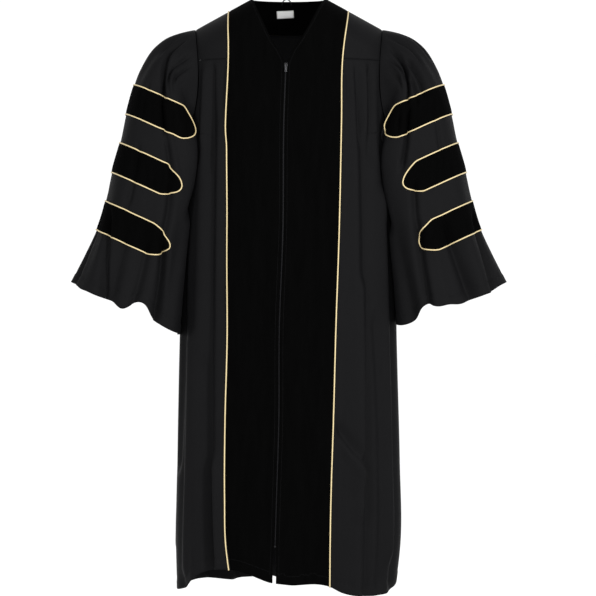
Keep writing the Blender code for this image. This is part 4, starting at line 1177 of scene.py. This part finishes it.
def sewn(points: Array, out: Array, seams: Sequence[Edges], depth: float = 0.0009,
         width: float = 0.0035) -> Array:
    """Lets cloth dip into its seams.

    Args:
        points: A grid of the cloth.
        out: The way out at each point.
        seams: The edges that are sewn.
        depth: How far the cloth dips.
        width: How far from the seam the dip reaches.

    Returns:
        The grid, moved.
    """
    dip = np.zeros(points.shape[:2])
    for edge in seams:
        dip = np.maximum(dip, bump(edge_distance(points, edge), width))
    return points - out * (depth * dip)[..., None]


def hemmed(points: Array, out: Array, edge: Edges, turn: float) -> Array:
    """Gives cloth a turned hem: a little thicker below its line of stitches, and drawn in at the line.

    Args:
        points: A grid of the cloth.
        out: The way out at each point.
        edge: The hemmed edge.
        turn: The height of the hem.

    Returns:
        The grid, moved.
    """
    far = edge_distance(points, edge)
    line = np.cumsum(np.full(points.shape[1], 0.31))
    pucker = 1 + 0.5 * np.sin(3.1 * line) + 0.35 * np.sin(7.7 * line + 1.0)
    swell = 0.0007 * ease((turn - far) / 0.004) - 0.0009 * pucker[None, :] * bump(far - turn, 0.0035)
    return points + out * swell[..., None]


def evenly(path: Array, out: Array, pitch: float) -> tuple[Array, Array, Array]:
    """Finds even places along a path.

    Args:
        path: Points of the path.
        out: The way out at each.
        pitch: The distance between places.

    Returns:
        Points, the way out and the way along at each place.
    """
    along = distance_along(path)
    places = np.arange(0.5 * pitch, along[-1], pitch)
    spots = np.stack([np.interp(places, along, path[:, axis]) for axis in range(3)], -1)
    ways = unit(np.stack([np.interp(places, along, out[:, axis]) for axis in range(3)], -1))
    run = np.gradient(path, axis=0)
    runs = unit(np.stack([np.interp(places, along, run[:, axis]) for axis in range(3)], -1))
    return spots, ways, runs


@dataclass
class Stitching:
    """Lines of machine stitches, each a small arched length of thread."""

    shop: Workshop
    pitch: float = 0.0032
    length: float = 0.0024
    radius: float = 0.00022

    def build(self, name: str, lines: Sequence[tuple[Array, Array]]) -> bpy.types.Object:
        """Makes one piece of several lines.

        Args:
            name: The piece's name.
            lines: For each line, its points on the cloth's face and the way out at them.

        Returns:
            The piece.
        """
        points, faces = [], []
        count = 0
        for path, out in lines:
            spots, ways, runs = evenly(path, out, self.pitch)
            side = unit(np.cross(runs, ways))
            rings = []
            for share, height in ((-0.5, -0.2), (-0.28, 0.9), (0.28, 0.9), (0.5, -0.2)):
                middle = spots + runs * (share * self.length) + ways * (height * self.radius)
                for across, up in ((-1, -0.7), (1, -0.7), (1, 0.7), (-1, 0.7)):
                    rings.append(middle + side * (across * 0.8 * self.radius) + ways * (up * self.radius))
            faces.append(count + link_faces(len(spots)).reshape(-1, 4))
            points.append(np.stack(rings, 1).reshape(-1, 3))
            count += len(points[-1])
        piece = self.shop.mesh(name, np.vstack(points), np.vstack(faces))
        return self.shop.fit(piece, Finish.THREAD)


@dataclass
class BodyPanels:
    """The cut pieces of the body: velvet fronts, yokes, side fronts, the back and the neck band."""

    shop: Workshop
    form: BodyForm
    cloth_wall: float = 0.0011
    velvet_wall: float = 0.0018
    level: float = 0.400
    hem_height: float = 0.022
    zip_stitch_inset: float = 0.006
    piping_radius: float = 0.0016
    piping_seat: float = 0.0022
    label_size: tuple = (0.040, 0.0165)
    label_place: tuple = (-0.0093, 0.0182)
    label_turn: float = math.radians(-3.0)
    label_wall: float = 0.0006
    thread_lines: list = field(default_factory=list)

    def panel(self, name: str, angles: Array, drops: Array, finish: Finish, seams: Sequence[Edges],
              hem: bool = False) -> bpy.types.Object:
        """Makes one panel of the body.

        Args:
            name: The CAD node that it stands for.
            angles: The angle of each point of its grid.
            drops: The drop of each point.
            finish: Its finish.
            seams: Its sewn edges.
            hem: Whether its lowest edge is hemmed.

        Returns:
            The piece.
        """
        wall = self.velvet_wall if finish is Finish.VELVET else self.cloth_wall
        points = self.form.point(angles, drops)
        out = self.form.normal(angles, drops)
        if hem:
            points = hemmed(points, out, Edges.BOTTOM, self.hem_height)
            far = edge_distance(points, Edges.BOTTOM)
            row = np.argmin(np.abs(far - self.hem_height), axis=0)
            columns = np.arange(points.shape[1])
            face = points + out * (0.5 * wall)
            self.thread_lines.append((face[row, columns], out[row, columns]))
        points = sewn(points, out, seams)
        piece = self.shop.sheet(f"{name}_cloth", points, out, wall)
        return self.shop.fit(piece, finish, (name,))

    def lower(self, first: Array, last: Array, shares: Array, depths: Array,
              hem: Callable[[Array], Array]) -> tuple[Array, Array]:
        """Fills the rows below the level line.

        Args:
            first: The angle of the panel's first edge at each depth.
            last: The angle of its last edge.
            shares: The place of each column between the edges.
            depths: The drops at which the edges are read.
            hem: The drop of the hem at an angle.

        Returns:
            Angles and drops of the rows.
        """
        angles = across_rows(first, last, shares)
        part = ((depths - self.level) / (depths[-1] - self.level))[:, None]
        return angles, self.level + part * (hem(angles[-1]) - self.level)

    def velvet_front(self, side: Side) -> bpy.types.Object:
        """Makes the velvet panel beside the zip, from the shoulder seam to the hem."""
        form = self.form
        top = float(form.shoulder_line(form.piping_at_shoulder))
        upper, middle = np.linspace(0, 1, 44), np.linspace(0, 1, 70)[1:]
        outer = np.concatenate([top + upper ** 1.6 * (form.front_yoke_drop - top),
                                form.front_yoke_drop + middle * (self.level - form.front_yoke_drop)])
        neck = NECK_EDGES[-2].drop
        inner = np.concatenate([neck * upper ** 1.2,
                                np.interp(middle, (0, 0.125, 1), (neck, form.zip_top, self.level))])
        shares = np.linspace(0, 1, 34)
        angles = across_rows(form.angle_at(form.opening_edge(side, inner), inner),
                             form.angle_at(form.piping_line(side, outer), outer), shares)
        drops = across_rows(inner, outer, shares)
        drops[0] = 0
        depths = np.linspace(self.level, SEAMS[-1].drop, 190)[1:]
        low_angles, low_drops = self.lower(form.angle_at(form.opening_edge(side, depths), depths),
                                           form.angle_at(form.piping_line(side, depths), depths),
                                           shares, depths, form.front_hem)
        angles, drops = np.vstack([angles, low_angles]), np.vstack([drops, low_drops])
        piece = self.panel(f"velvet_front_{side.word}", angles, drops, Finish.VELVET,
                           (Edges.TOP, Edges.LAST), hem=True)
        zip_drops = np.concatenate([inner[2:], depths])
        zip_angles = form.angle_at(form.opening_edge(side, zip_drops) + side.value * self.zip_stitch_inset,
                                   zip_drops)
        out = form.normal(zip_angles, zip_drops)
        self.thread_lines.append((form.point(zip_angles, zip_drops) + out * (0.5 * self.velvet_wall), out))
        f"front_yoke_{side.word}_cloth"
        return piece

    def front_yoke(self, side: Side) -> bpy.types.Object:
        """Makes the yoke between the shoulder seam, the armhole and the yoke seam."""
        form = self.form
        top = float(form.shoulder_line(form.piping_at_shoulder))
        share = np.linspace(0, 1, 50) ** 1.6
        inner = top + share * (form.front_yoke_drop - top)
        outer = form.shoulder_drop + share * (form.front_yoke_drop - form.shoulder_drop)
        shares = np.linspace(0, 1, 34)
        angles = across_rows(form.angle_at(form.piping_line(side, inner) + side.value * form.seam_gap, inner),
                             form.angle_at(side.value * form.armhole_half(outer), outer), shares)
        drops = across_rows(inner, outer, shares)
        drops[0] = 0
        piece = self.panel(f"front_yoke_{side.word}", angles, drops, Finish.CLOTH,
                           (Edges.TOP, Edges.BOTTOM, Edges.FIRST, Edges.LAST))
        return piece

    def side_front(self, side: Side) -> bpy.types.Object:
        """Makes the fluted panel between the velvet and the side seam, below the yoke."""
        form = self.form
        around = form.armhole_drops(form.front_yoke_drop, 60)
        outer = np.concatenate([around, np.linspace(form.armhole_drop, self.level, 25)[1:]])
        inner = np.linspace(form.front_yoke_drop, self.level, len(outer))
        last = form.angle_at(side.value * form.armhole_half(outer), outer)
        last[len(around) - 1:] = side.value * form.side_turn
        shares = np.linspace(0, 1, 64)
        angles = across_rows(form.angle_at(form.piping_line(side, inner) + side.value * form.seam_gap, inner),
                             last, shares)
        drops = across_rows(inner, outer, shares)
        drops[0] += form.seam_gap
        depths = np.linspace(self.level, SEAMS[-1].drop, 190)[1:]
        low_angles, low_drops = self.lower(
            form.angle_at(form.piping_line(side, depths) + side.value * form.seam_gap, depths),
            np.full(len(depths), side.value * form.side_turn), shares, depths, form.front_hem)
        angles, drops = np.vstack([angles, low_angles]), np.vstack([drops, low_drops])
        piece = self.panel(f"side_front_{side.word}", angles, drops, Finish.CLOTH,
                           (Edges.TOP, Edges.FIRST, Edges.LAST), hem=True)
        f"front_yoke_{side.word}_cloth"
        return piece

    def neck_band(self) -> bpy.types.Object:
        """Makes the velvet band round the back of the neck."""
        form = self.form
        turn = np.linspace(0, math.pi, 110)
        outer_x, outer_drop = form.band_edge(turn)
        inner_x = form.neck_half * np.cos(turn)
        shares = np.linspace(0, 1, 30)
        angles = form.angle_at(across_rows(inner_x, outer_x, shares), SECTIONS[0].drop, behind=True)
        drops = across_rows(-form.back_neck_rise * form.back_neck(inner_x), outer_drop, shares)
        drops[:, 0] = -1.0
        drops[0] = -1.0
        drops[-1] = -1.0
        piece = self.panel("velvet_neck_band", angles.T, drops.T, Finish.VELVET,
                           (Edges.BOTTOM, Edges.FIRST, Edges.LAST))
        return piece

    def back_yoke(self) -> bpy.types.Object:
        """Makes the back yoke, from the shoulder seams and the neck band down to the fluted back."""
        form = self.form
        turn = np.linspace(math.pi, 0, 120)
        wing = np.linspace(form.shoulder_half, form.piping_at_shoulder, 24)[:-1]
        x_top = np.concatenate([-wing, form.piping_at_shoulder * np.cos(turn), wing[::-1]])
        inside = np.abs(x_top) < form.piping_at_shoulder
        start = float(form.shoulder_line(form.piping_at_shoulder))
        round_share = np.sqrt(np.clip(1 - (x_top / form.piping_at_shoulder) ** 2, 0, 1)) ** 0.8
        dip = start + (form.band_drop - start) * round_share + form.seam_gap
        top = np.where(inside, dip, form.shoulder_line(x_top))
        share = (np.linspace(0, 1, 40) ** 1.5)[:, None]
        drops = top[None, :] + share * (form.back_yoke_drop - top)[None, :]
        edge = form.shoulder_drop + share * (form.back_yoke_drop - form.shoulder_drop)
        x = x_top[None, :] / form.shoulder_half * form.armhole_half(edge)
        x[0] = x_top
        drops[0] = np.where(inside, dip, 0)
        angles = form.angle_at(x, SECTIONS[0].drop, behind=True)
        piece = self.panel("back_yoke", angles, drops, Finish.CLOTH,
                           (Edges.TOP, Edges.BOTTOM, Edges.FIRST, Edges.LAST))
        return piece

    def back(self) -> bpy.types.Object:
        """Makes the fluted back below the yoke, from side seam to side seam."""
        form = self.form
        around = form.armhole_drops(form.back_yoke_drop, 50)
        outer = np.concatenate([around, np.linspace(form.armhole_drop, self.level, 22)[1:]])
        centre = np.linspace(form.back_yoke_drop, self.level, len(outer))
        edge = form.angle_at(form.armhole_half(outer), outer, behind=True)
        last = math.pi - edge
        last[len(around) - 1:] = form.side_turn
        across = np.linspace(-1, 1, 213)
        turned = last[:, None] * across[None, :]
        drops = centre[:, None] + (outer - centre)[:, None] * across[None, :] ** 4
        drops[0] += form.seam_gap
        angles = np.where(turned >= 0, math.pi - turned, -math.pi - turned)
        part = np.linspace(0, 1, 150)[1:][:, None]
        drops = np.vstack([drops, self.level + part * (form.back_hem(angles[-1]) - self.level)[None, :]])
        angles = np.vstack([angles, np.repeat(angles[-1:], len(part), 0)])
        piece = self.panel("back", angles, drops, Finish.CLOTH,
                           (Edges.TOP, Edges.FIRST, Edges.LAST), hem=True)
        return piece

    def seam_cord(self, name: str, angles: Array, drops: Array) -> bpy.types.Object:
        """Makes gold piping that lies in a seam of the body.

        Args:
            name: The CAD node that it stands for.
            angles: The angle of each point of the seam.
            drops: The drop of each point.

        Returns:
            The piece.
        """
        out = self.form.normal(angles, drops)
        path = self.form.point(angles, drops) + out * self.piping_seat
        piece = self.shop.cord(f"{name}_cord", path, self.piping_radius, out=out)
        return self.shop.fit(piece, Finish.PIPING, (name,))

    def front_piping(self, side: Side) -> bpy.types.Object:
        """Makes the gold piping in the seam between the velvet and the side front."""
        form = self.form
        start = float(form.shoulder_line(form.piping_at_shoulder))
        drops = np.concatenate([start + 0.006 + np.linspace(0, 1, 40) ** 1.6 * (self.level - start - 0.006),
                                np.linspace(self.level, 1.27, 150)[1:]])
        hem = float(form.front_hem(form.angle_at(form.piping_line(side, 1.27), 1.27))) + 0.001
        drops = np.append(drops, np.linspace(1.27, hem, 10)[1:])
        angles = form.angle_at(form.piping_line(side, drops), drops)
        return self.seam_cord(f"front_piping_{side.word}", angles, drops)

    def neck_piping(self) -> bpy.types.Object:
        """Makes the gold piping along the lower edge of the neck band."""
        form = self.form
        turn = np.linspace(0.05, math.pi - 0.05, 130)
        x, drop = form.band_edge(turn)
        angles = form.angle_at(x, SECTIONS[0].drop, behind=True)
        return self.seam_cord("neck_piping", angles, drop)

    def label(self) -> bpy.types.Object:
        """Makes the blank label sewn inside the back of the neck, a little askew."""
        form = self.form
        (wide, high), turn = self.label_size, self.label_turn
        across, down = np.meshgrid(np.linspace(-0.5, 0.5, 30) * wide, np.linspace(-0.5, 0.5, 16) * high)
        x = self.label_place[0] + across * math.cos(turn) - down * math.sin(turn)
        drop = self.label_place[1] + down * math.cos(turn) + across * math.sin(turn)
        angles = form.angle_at(x, SECTIONS[0].drop, behind=True)
        out = form.normal(angles, drop)
        inset = 0.5 * self.velvet_wall + 0.0016 - 0.0006 * bump(down - 0.5 * high, 0.004)
        points = form.point(angles, drop) - out * inset[..., None]
        piece = self.shop.sheet("neck_label_cloth", points, out, self.label_wall)
        edge = [(1, slice(1, -1)), (-2, slice(1, -1)), (slice(1, -1), 1), (slice(1, -1), -2)]
        face = points - out * (0.5 * self.label_wall)
        self.thread_lines.extend((face[spot], -out[spot]) for spot in edge)
        self.shop.fit(piece, Finish.LABEL, ("neck_label",))
        return piece

    def hanging_loop(self) -> bpy.types.Object:
        """Makes the tape loop that stands up from the middle of the back neckline."""
        form = self.form
        turn = np.linspace(0, math.pi, 40)
        x = -0.006 + 0.011 * np.cos(turn)
        angles = form.angle_at(x, SECTIONS[0].drop, behind=True)
        edge = form.point(angles, np.full(turn.shape, -1.0))
        way = form.normal(angles, np.full(turn.shape, 0.008)) * np.array([1, 1, 0])
        points = edge - way * 0.0033
        points[:, 2] += -0.008 + 0.014 * np.sin(turn)
        piece = self.shop.cord("hanging_loop_cord", points, 0.0013)
        return self.shop.fit(piece, Finish.TAPE, ("hanging_loop",))

    def build(self) -> None:
        """Makes all the pieces of the body."""
        for side in Side:
            self.front_yoke(side)
        self.back_yoke()
        for side in Side:
            self.velvet_front(side)
            self.side_front(side)
            self.front_piping(side)
        self.back()
        self.neck_band()
        self.neck_piping()
        self.label()
        self.hanging_loop()
        Stitching(self.shop).build("body_stitching", self.thread_lines)


@dataclass
class Sleeve:
    """One bell sleeve with its three velvet bars and their piping."""

    shop: Workshop
    form: SleeveForm
    cloth_wall: float = 0.0011
    velvet_wall: float = 0.0017
    bar_width: float = 0.066
    bar_round: float = 0.18
    bar_half_length: float = 0.20
    piping_radius: float = 0.0016
    piping_seat: float = 0.0020
    hem_height: float = 0.024
    bar_rows: int = 20
    bar_columns: int = 110
    thread_lines: list = field(default_factory=list)

    def tube(self) -> bpy.types.Object:
        """Makes the sleeve's cloth, one tube from the armhole to the cuff."""
        word = self.form.side.word
        angle = np.linspace(-math.pi, math.pi, 220, endpoint=False)
        shares = np.linspace(0, 1, 165)
        along = shares[:, None] * self.form.cuff_reach(angle)[None, :]
        angles = np.broadcast_to(angle, along.shape)
        points = self.form.point(angles, along)
        out = self.form.normal(angles, along)
        points = hemmed(points, out, Edges.BOTTOM, self.hem_height)
        far = edge_distance(points, Edges.BOTTOM)
        row = np.argmin(np.abs(far - self.hem_height), axis=0)
        spot = (row, np.arange(len(angle)))
        self.thread_lines.append((points[spot] + out[spot] * (0.5 * self.cloth_wall), out[spot]))
        points = sewn(points, out, (Edges.TOP,), 0.0004)
        piece = self.shop.sheet(f"sleeve_{word}_cloth", points, out, self.cloth_wall, ring=True)
        self.shop.fit(piece, Finish.CLOTH, (f"sleeve_{word}",))
        return piece

    def profile(self, share: Array) -> Array:
        """Gives the half width of a bar, as a share, at a share of its half length."""
        end = np.clip((np.abs(share) - (1 - self.bar_round)) / self.bar_round, 0, 1)
        return 0.55 * np.sqrt(np.clip(1 - end ** 2, 0.004, 1)) + 0.45 * (1 - 0.96 * end)

    def on_bar(self, index: int, share: Array, across: Array) -> tuple[Array, Array]:
        """Places a point of a bar on the sleeve.

        Args:
            index: The bar, 0 at the top.
            share: The point's share of the bar's half length, positive to the front.
            across: Its distance across the bar.

        Returns:
            The sleeve's angle and place along.
        """
        middle, half = self.form.bar_span(index)
        angle = middle + half * share
        return angle, self.form.on_level(angle, self.form.bar_top + index * self.form.bar_pitch + across)

    def bar(self, index: int) -> None:
        """Makes one velvet bar and the piping round it.

        Args:
            index: The bar, 0 at the top.
        """
        word = self.form.side.word
        even = np.linspace(-1, 1, self.bar_columns)
        shares = 0.45 * np.sin(0.5 * math.pi * even) + 0.55 * even
        share = np.stack([shares] * self.bar_rows)
        part = np.linspace(-1, 1, self.bar_rows)[:, None]
        half = 0.5 * self.bar_width * self.profile(share)
        angle, along = self.on_bar(index, share, half * part)
        out = self.form.normal(angle, along)
        edge = np.minimum(half * (1 - np.abs(part)), self.bar_half_length * (1 - np.abs(share)))
        lift = 0.5 * (self.cloth_wall + self.velvet_wall) + 0.0005 - 0.0006 * bump(edge, 0.0035)
        points = self.form.point(angle, along) + out * lift[..., None]
        piece = self.shop.sheet(f"velvet_bar_{word}_{index + 1}_cloth", points, out, self.velvet_wall)
        self.shop.fit(piece, Finish.VELVET, (f"velvet_bar_{word}_{index + 1}",))
        BAR_LENGTHS[index] * self.bar_width
        half = 0.5 * self.bar_width * self.profile(shares)
        outline = np.column_stack([np.append(shares, shares[::-1]) * self.bar_half_length,
                                   np.append(-half, half[::-1])])
        run = unit(np.roll(outline, -1, 0) - outline) + unit(outline - np.roll(outline, 1, 0))
        away = unit(np.column_stack([run[:, 1], -run[:, 0]]))
        outline = outline + away * (self.piping_radius * 0.75)
        angle, along = self.on_bar(index, outline[:, 0] / self.bar_half_length, outline[:, 1])
        out = self.form.normal(angle, along)
        path = self.form.point(angle, along) + out * (0.5 * self.cloth_wall + self.piping_seat)
        path = 0.25 * np.roll(path, 1, 0) + 0.5 * path + 0.25 * np.roll(path, -1, 0)
        cord = self.shop.cord(f"bar_piping_{word}_{index + 1}_cord", path, self.piping_radius, True, out=out)
        self.shop.fit(cord, Finish.PIPING, (f"bar_piping_{word}_{index + 1}",))

    def build(self) -> None:
        """Makes the sleeve and all that is on it."""
        self.tube()
        for index in range(len(BARS)):
            self.bar(index)
        Stitching(self.shop).build(f"sleeve_{self.form.side.word}_stitching", self.thread_lines)


@dataclass
class Zip:
    """The front zip: tapes, coil, slider, pull and bottom stop."""

    shop: Workshop
    form: BodyForm
    tape_inset: float = 0.0020
    tape_width: float = 0.012
    tape_wall: float = 0.0006
    tooth_pitch: float = 0.0026
    tooth_height: float = 0.0009
    slider_drop: float = 0.1640
    slider_size: tuple = (0.0085, 0.0020, 0.0105)
    pin_out: float = 0.0017
    pin_rise: float = 0.0030

    def line(self, offset: float, drops: Array, inset: float) -> tuple[Array, Array]:
        """Reads a line beside the zip.

        Args:
            offset: Its distance from the zip's middle.
            drops: Its drops.
            inset: How far it lies inside the middle of the velvet.

        Returns:
            Its points and the way out there.
        """
        x = smooth_read(SEAMS, "drop", "zip_line", drops) + offset
        angles = self.form.angle_at(x, drops)
        out = self.form.normal(angles, drops)
        return self.form.point(angles, drops) - out * inset, out

    def tape(self, side: Side) -> bpy.types.Object:
        """Makes one side's woven tape."""
        drops = np.linspace(self.form.zip_top, self.form.zip_end, 260)
        lines = [self.line(side.value * offset, drops, self.tape_inset)
                 for offset in np.linspace(0.0004, self.tape_width, 7)]
        points = np.stack([line[0] for line in lines], 1)
        out = np.stack([line[1] for line in lines], 1)
        piece = self.shop.sheet(f"zip_tape_{side.word}_cloth", points, out, self.tape_wall)
        self.shop.fit(piece, Finish.TAPE, (f"zip_tape_{side.word}",))
        f"velvet_front_{side.word}_cloth"
        return piece

    def coil(self) -> bpy.types.Object:
        """Makes the closed chain: small rounded teeth from each side in turn."""
        top = self.slider_drop + 0.5 * self.slider_size[2] + 0.0006
        drops = np.arange(top, self.form.zip_end - 0.0046, 0.5 * self.tooth_pitch)
        spots, out = self.line(0.0, drops, 0.0002)
        run = unit(np.gradient(spots, axis=0))
        across = unit(np.cross(out, run))
        sign = np.where(np.arange(len(drops)) % 2, 1.0, -1.0)[:, None]
        rings = []
        for reach, half, high in ((-0.0019, 0.30, 0.55), (-0.0014, 0.42, 0.80), (0.0008, 0.42, 0.80),
                                  (0.0012, 0.28, 0.50)):
            middle = spots + across * sign * reach
            for down, up in ((-1, -1), (1, -1), (1, 1), (-1, 1)):
                rings.append(middle + run * (down * half * 0.5 * self.tooth_pitch)
                             + out * (up * high * self.tooth_height))
        points = np.stack(rings, 1).reshape(-1, 3)
        faces = link_faces(len(drops))
        flip = (np.arange(len(drops)) % 2).astype(bool)
        faces[flip] = faces[flip][:, :, ::-1]
        piece = self.shop.mesh("zip_coil", points, faces.reshape(-1, 4))
        return self.shop.fit(piece, Finish.NYLON, ("zip_chain",))

    def seat(self, drop: float) -> tuple[Vector, Vector]:
        """Gives the zip line's place at a drop, and the way out of the velvet there."""
        points, out = self.line(0.0, np.array([drop]), 0.0)
        return Vector(points[0]), Vector(out[0])

    def block(self, name: str, place: Vector, size: tuple, ease_by: float,
              segments: int = 3) -> bpy.types.Object:
        """Makes a small block of metal with rounded edges, as by hand.

        Args:
            name: Its name.
            place: Its middle.
            size: Its width, depth and height.
            ease_by: The width of its bevel.
            segments: The steps of its bevel.

        Returns:
            The block, with its place in its mesh.
        """
        bpy.ops.object.select_all(action="DESELECT")
        bpy.ops.mesh.primitive_cube_add(size=1, location=place, scale=size)
        piece = bpy.context.active_object
        piece.name = name
        bpy.ops.object.transform_apply(location=True, rotation=True, scale=True)
        bevel = piece.modifiers.new("rounding", "BEVEL")
        bevel.width = ease_by
        bevel.segments = segments
        bpy.ops.object.modifier_apply(modifier=bevel.name)
        bpy.ops.object.shade_smooth_by_angle(angle=math.radians(35))
        return piece

    def bore(self, piece: bpy.types.Object, place: Vector, radius: float, axis: str) -> None:
        """Cuts a round hole through a piece along Y or X.

        Args:
            piece: The piece.
            place: The middle of the hole.
            radius: Its radius.
            axis: The way that it runs, "X" or "Y".
        """
        turn = (0, math.pi / 2, 0) if axis == "X" else (math.pi / 2, 0, 0)
        bpy.ops.object.select_all(action="DESELECT")
        bpy.ops.mesh.primitive_cylinder_add(vertices=24, radius=radius, depth=0.02, location=place,
                                            rotation=turn)
        cutter = bpy.context.active_object
        on_its_own(piece)
        cut = piece.modifiers.new("bore", "BOOLEAN")
        cut.operation = "DIFFERENCE"
        cut.object = cutter
        bpy.ops.object.modifier_apply(modifier=cut.name)
        bpy.data.objects.remove(cutter)

    def joined(self, pieces: Sequence[bpy.types.Object]) -> bpy.types.Object:
        """Joins pieces into the first of them."""
        bpy.ops.object.select_all(action="DESELECT")
        for piece in pieces:
            piece.select_set(True)
        bpy.context.view_layer.objects.active = pieces[0]
        bpy.ops.object.join()
        bpy.ops.object.shade_smooth_by_angle(angle=math.radians(35))
        return pieces[0]

    def slider(self) -> bpy.types.Object:
        """Makes the slider: its plate, its side flanges, its neck and the bridge that holds the pull."""
        wide, deep, high = self.slider_size
        place, out = self.seat(self.slider_drop)
        face = place + out * (0.0013 + 0.5 * deep)
        plate = self.block("zip_slider_metal", face, (wide, 0.6 * deep, high), 0.0007)
        neck = self.block("neck", place + out * 0.0004, (0.0040, 0.0020, 0.7 * high), 0.0003, 2)
        nose = self.block("nose", face + out * 0.0005 + Vector((0, 0, 0.30 * high)),
                          (0.55 * wide, 0.7 * deep, 0.26 * high), 0.0005)
        flanges = [self.block("flange", face + out * 0.0004 + Vector((sign * 0.42 * wide, 0, -0.04 * high)),
                              (0.0008, 0.8 * deep, 0.76 * high), 0.0003, 2) for sign in (-1, 1)]
        pin = face + out * (0.5 * deep + self.pin_out) + Vector((0, 0, self.pin_rise))
        bpy.ops.object.select_all(action="DESELECT")
        bpy.ops.mesh.primitive_torus_add(major_segments=32, minor_segments=10, location=pin - out * 0.0004,
                                         rotation=(0, math.pi / 2, 0), major_radius=0.0021,
                                         minor_radius=0.00042)
        bridge = bpy.context.active_object
        bpy.ops.object.transform_apply(location=True, rotation=True, scale=True)
        piece = self.joined([plate, neck, nose, *flanges, bridge])
        return self.shop.fit(piece, Finish.METAL, ("zip_slider",))

    def pull(self) -> bpy.types.Object:
        """Makes the pull tab on its own body: a thin plate with an eye near its top and a smaller hole near
        its foot.
        """
        low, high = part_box("zip_pull")
        size = Vector(high) - Vector(low)
        middle = (Vector(high) + Vector(low)) / 2
        tab = self.block("zip_pull_metal", middle, (0.0055, 0.0011, size.z), 0.00045)
        on_its_own(tab)
        bpy.ops.object.mode_set(mode="EDIT")
        bpy.ops.mesh.select_all(action="SELECT")
        bpy.ops.transform.rotate(value=PULL_LEAN, orient_axis="X", center_override=middle)
        bpy.ops.object.mode_set(mode="OBJECT")
        self.bore(tab, Vector((middle.x, middle.y, high[2] - 0.0030)), 0.0013, "Y")
        self.bore(tab, Vector((middle.x, middle.y, low[2] + 0.0032)), 0.0010, "Y")
        bpy.ops.object.shade_smooth_by_angle(angle=math.radians(35))
        return self.shop.fit(tab, Finish.METAL, ("zip_pull",), body="pull")

    def stop(self) -> bpy.types.Object:
        """Makes the bottom stop: a small clamp over the end of the coil."""
        place, out = self.seat(self.form.zip_end - 0.0017)
        clamp = self.block("zip_stop_metal", place, (0.0044, 0.0022, 0.0038), 0.0005)
        rib = self.block("rib", place + out * 0.0011, (0.0030, 0.0006, 0.0010), 0.0002, 2)
        return self.shop.fit(self.joined([clamp, rib]), Finish.METAL, ("zip_stop",))

    def build(self) -> None:
        """Makes the whole zip."""
        for side in Side:
            self.tape(side)
        self.coil()
        self.slider()
        self.pull()
        self.stop()


@dataclass(frozen=True)
class Lamp:
    """A soft rectangular light: its place, the point that it faces, its width and height, and its watts."""

    name: str
    place: tuple
    aim: tuple
    size: tuple
    power: float


@dataclass
class Stage:
    """A wide pale floor, some way below the hem as under someone standing, soft light and the camera."""

    floor_drop: float = 1.62
    floor_size: float = 60.0
    camera_place: tuple = (0.0207, -4.5, -0.685)
    lens: float = 118.2
    sky: float = 1.08
    floor_color: tuple = (0.95, 0.95, 0.95, 1.0)
    lamps: tuple = (
        Lamp("key", (2.6, -3.4, 0.3), (0, 0, -0.65), (0.6, 1.4), 125),
        Lamp("fill", (-2.6, -3.4, 0.1), (0, 0, -0.65), (0.6, 1.4), 48),
        Lamp("front", (0.2, -4.4, 0.5), (0, 0, -0.5), (0.5, 0.5), 42),
    )

    def floor(self) -> None:
        """Makes the floor."""
        bpy.ops.mesh.primitive_plane_add(size=self.floor_size, location=(0, 0, -self.floor_drop))
        floor = bpy.context.active_object
        floor.name = "floor"
        bpy.ops.object.transform_apply(location=True, rotation=False, scale=False)
        kit = NodeKit("floor")
        kit.fix(Base_Color=self.floor_color, Roughness=0.9, Specular_IOR_Level=0.1)
        floor.data.materials.append(kit.material)

    def lights(self) -> None:
        """Adds two tall soft boxes at the front corners, a small one in front, and an even white sky."""
        for lamp in self.lamps:
            light = bpy.data.lights.new(lamp.name, "AREA")
            light.shape = "RECTANGLE"
            light.size, light.size_y = lamp.size
            light.energy = lamp.power
            stand = bpy.data.objects.new(lamp.name, light)
            stand.location = lamp.place
            stand.rotation_euler = (Vector(lamp.aim) - Vector(lamp.place)).to_track_quat("-Z", "Y").to_euler()
            bpy.context.scene.collection.objects.link(stand)
        world = bpy.data.worlds.new("soft_sky")
        world.use_nodes = True
        background = world.node_tree.nodes["Background"]
        background.inputs["Color"].default_value = (1.0, 1.0, 1.0, 1.0)
        background.inputs["Strength"].default_value = self.sky
        bpy.context.scene.world = world
        bpy.context.scene.view_settings.view_transform = "Standard"

    def camera(self) -> None:
        """Adds the camera, level with the middle of the gown and far in front of it."""
        data = bpy.data.cameras.new("camera")
        data.lens = self.lens
        data.sensor_width = 36.0
        data.clip_start, data.clip_end = 0.1, 60.0
        camera = bpy.data.objects.new("camera", data)
        camera.location = self.camera_place
        camera.rotation_euler = (math.pi / 2, 0, 0)
        bpy.context.scene.collection.objects.link(camera)
        bpy.context.scene.camera = camera

    def build(self) -> None:
        """Sets the stage."""
        self.camera()
        self.floor()
        self.lights()


def main() -> None:
    """Makes the gown's pieces and its stage."""
    logging.basicConfig(level=logging.INFO, format="%(name)s: %(message)s")
    Stage().build()
    shop = Workshop()
    plain_body = BodyForm()
    body = BodyForm(BODY_CREASES)
    BodyPanels(shop, body).build()
    Zip(shop, plain_body).build()
    for side in Side:
        Sleeve(shop, SleeveForm(plain_body, side, SLEEVE_CREASES[side])).build()


if __name__ == "__main__":
    main()
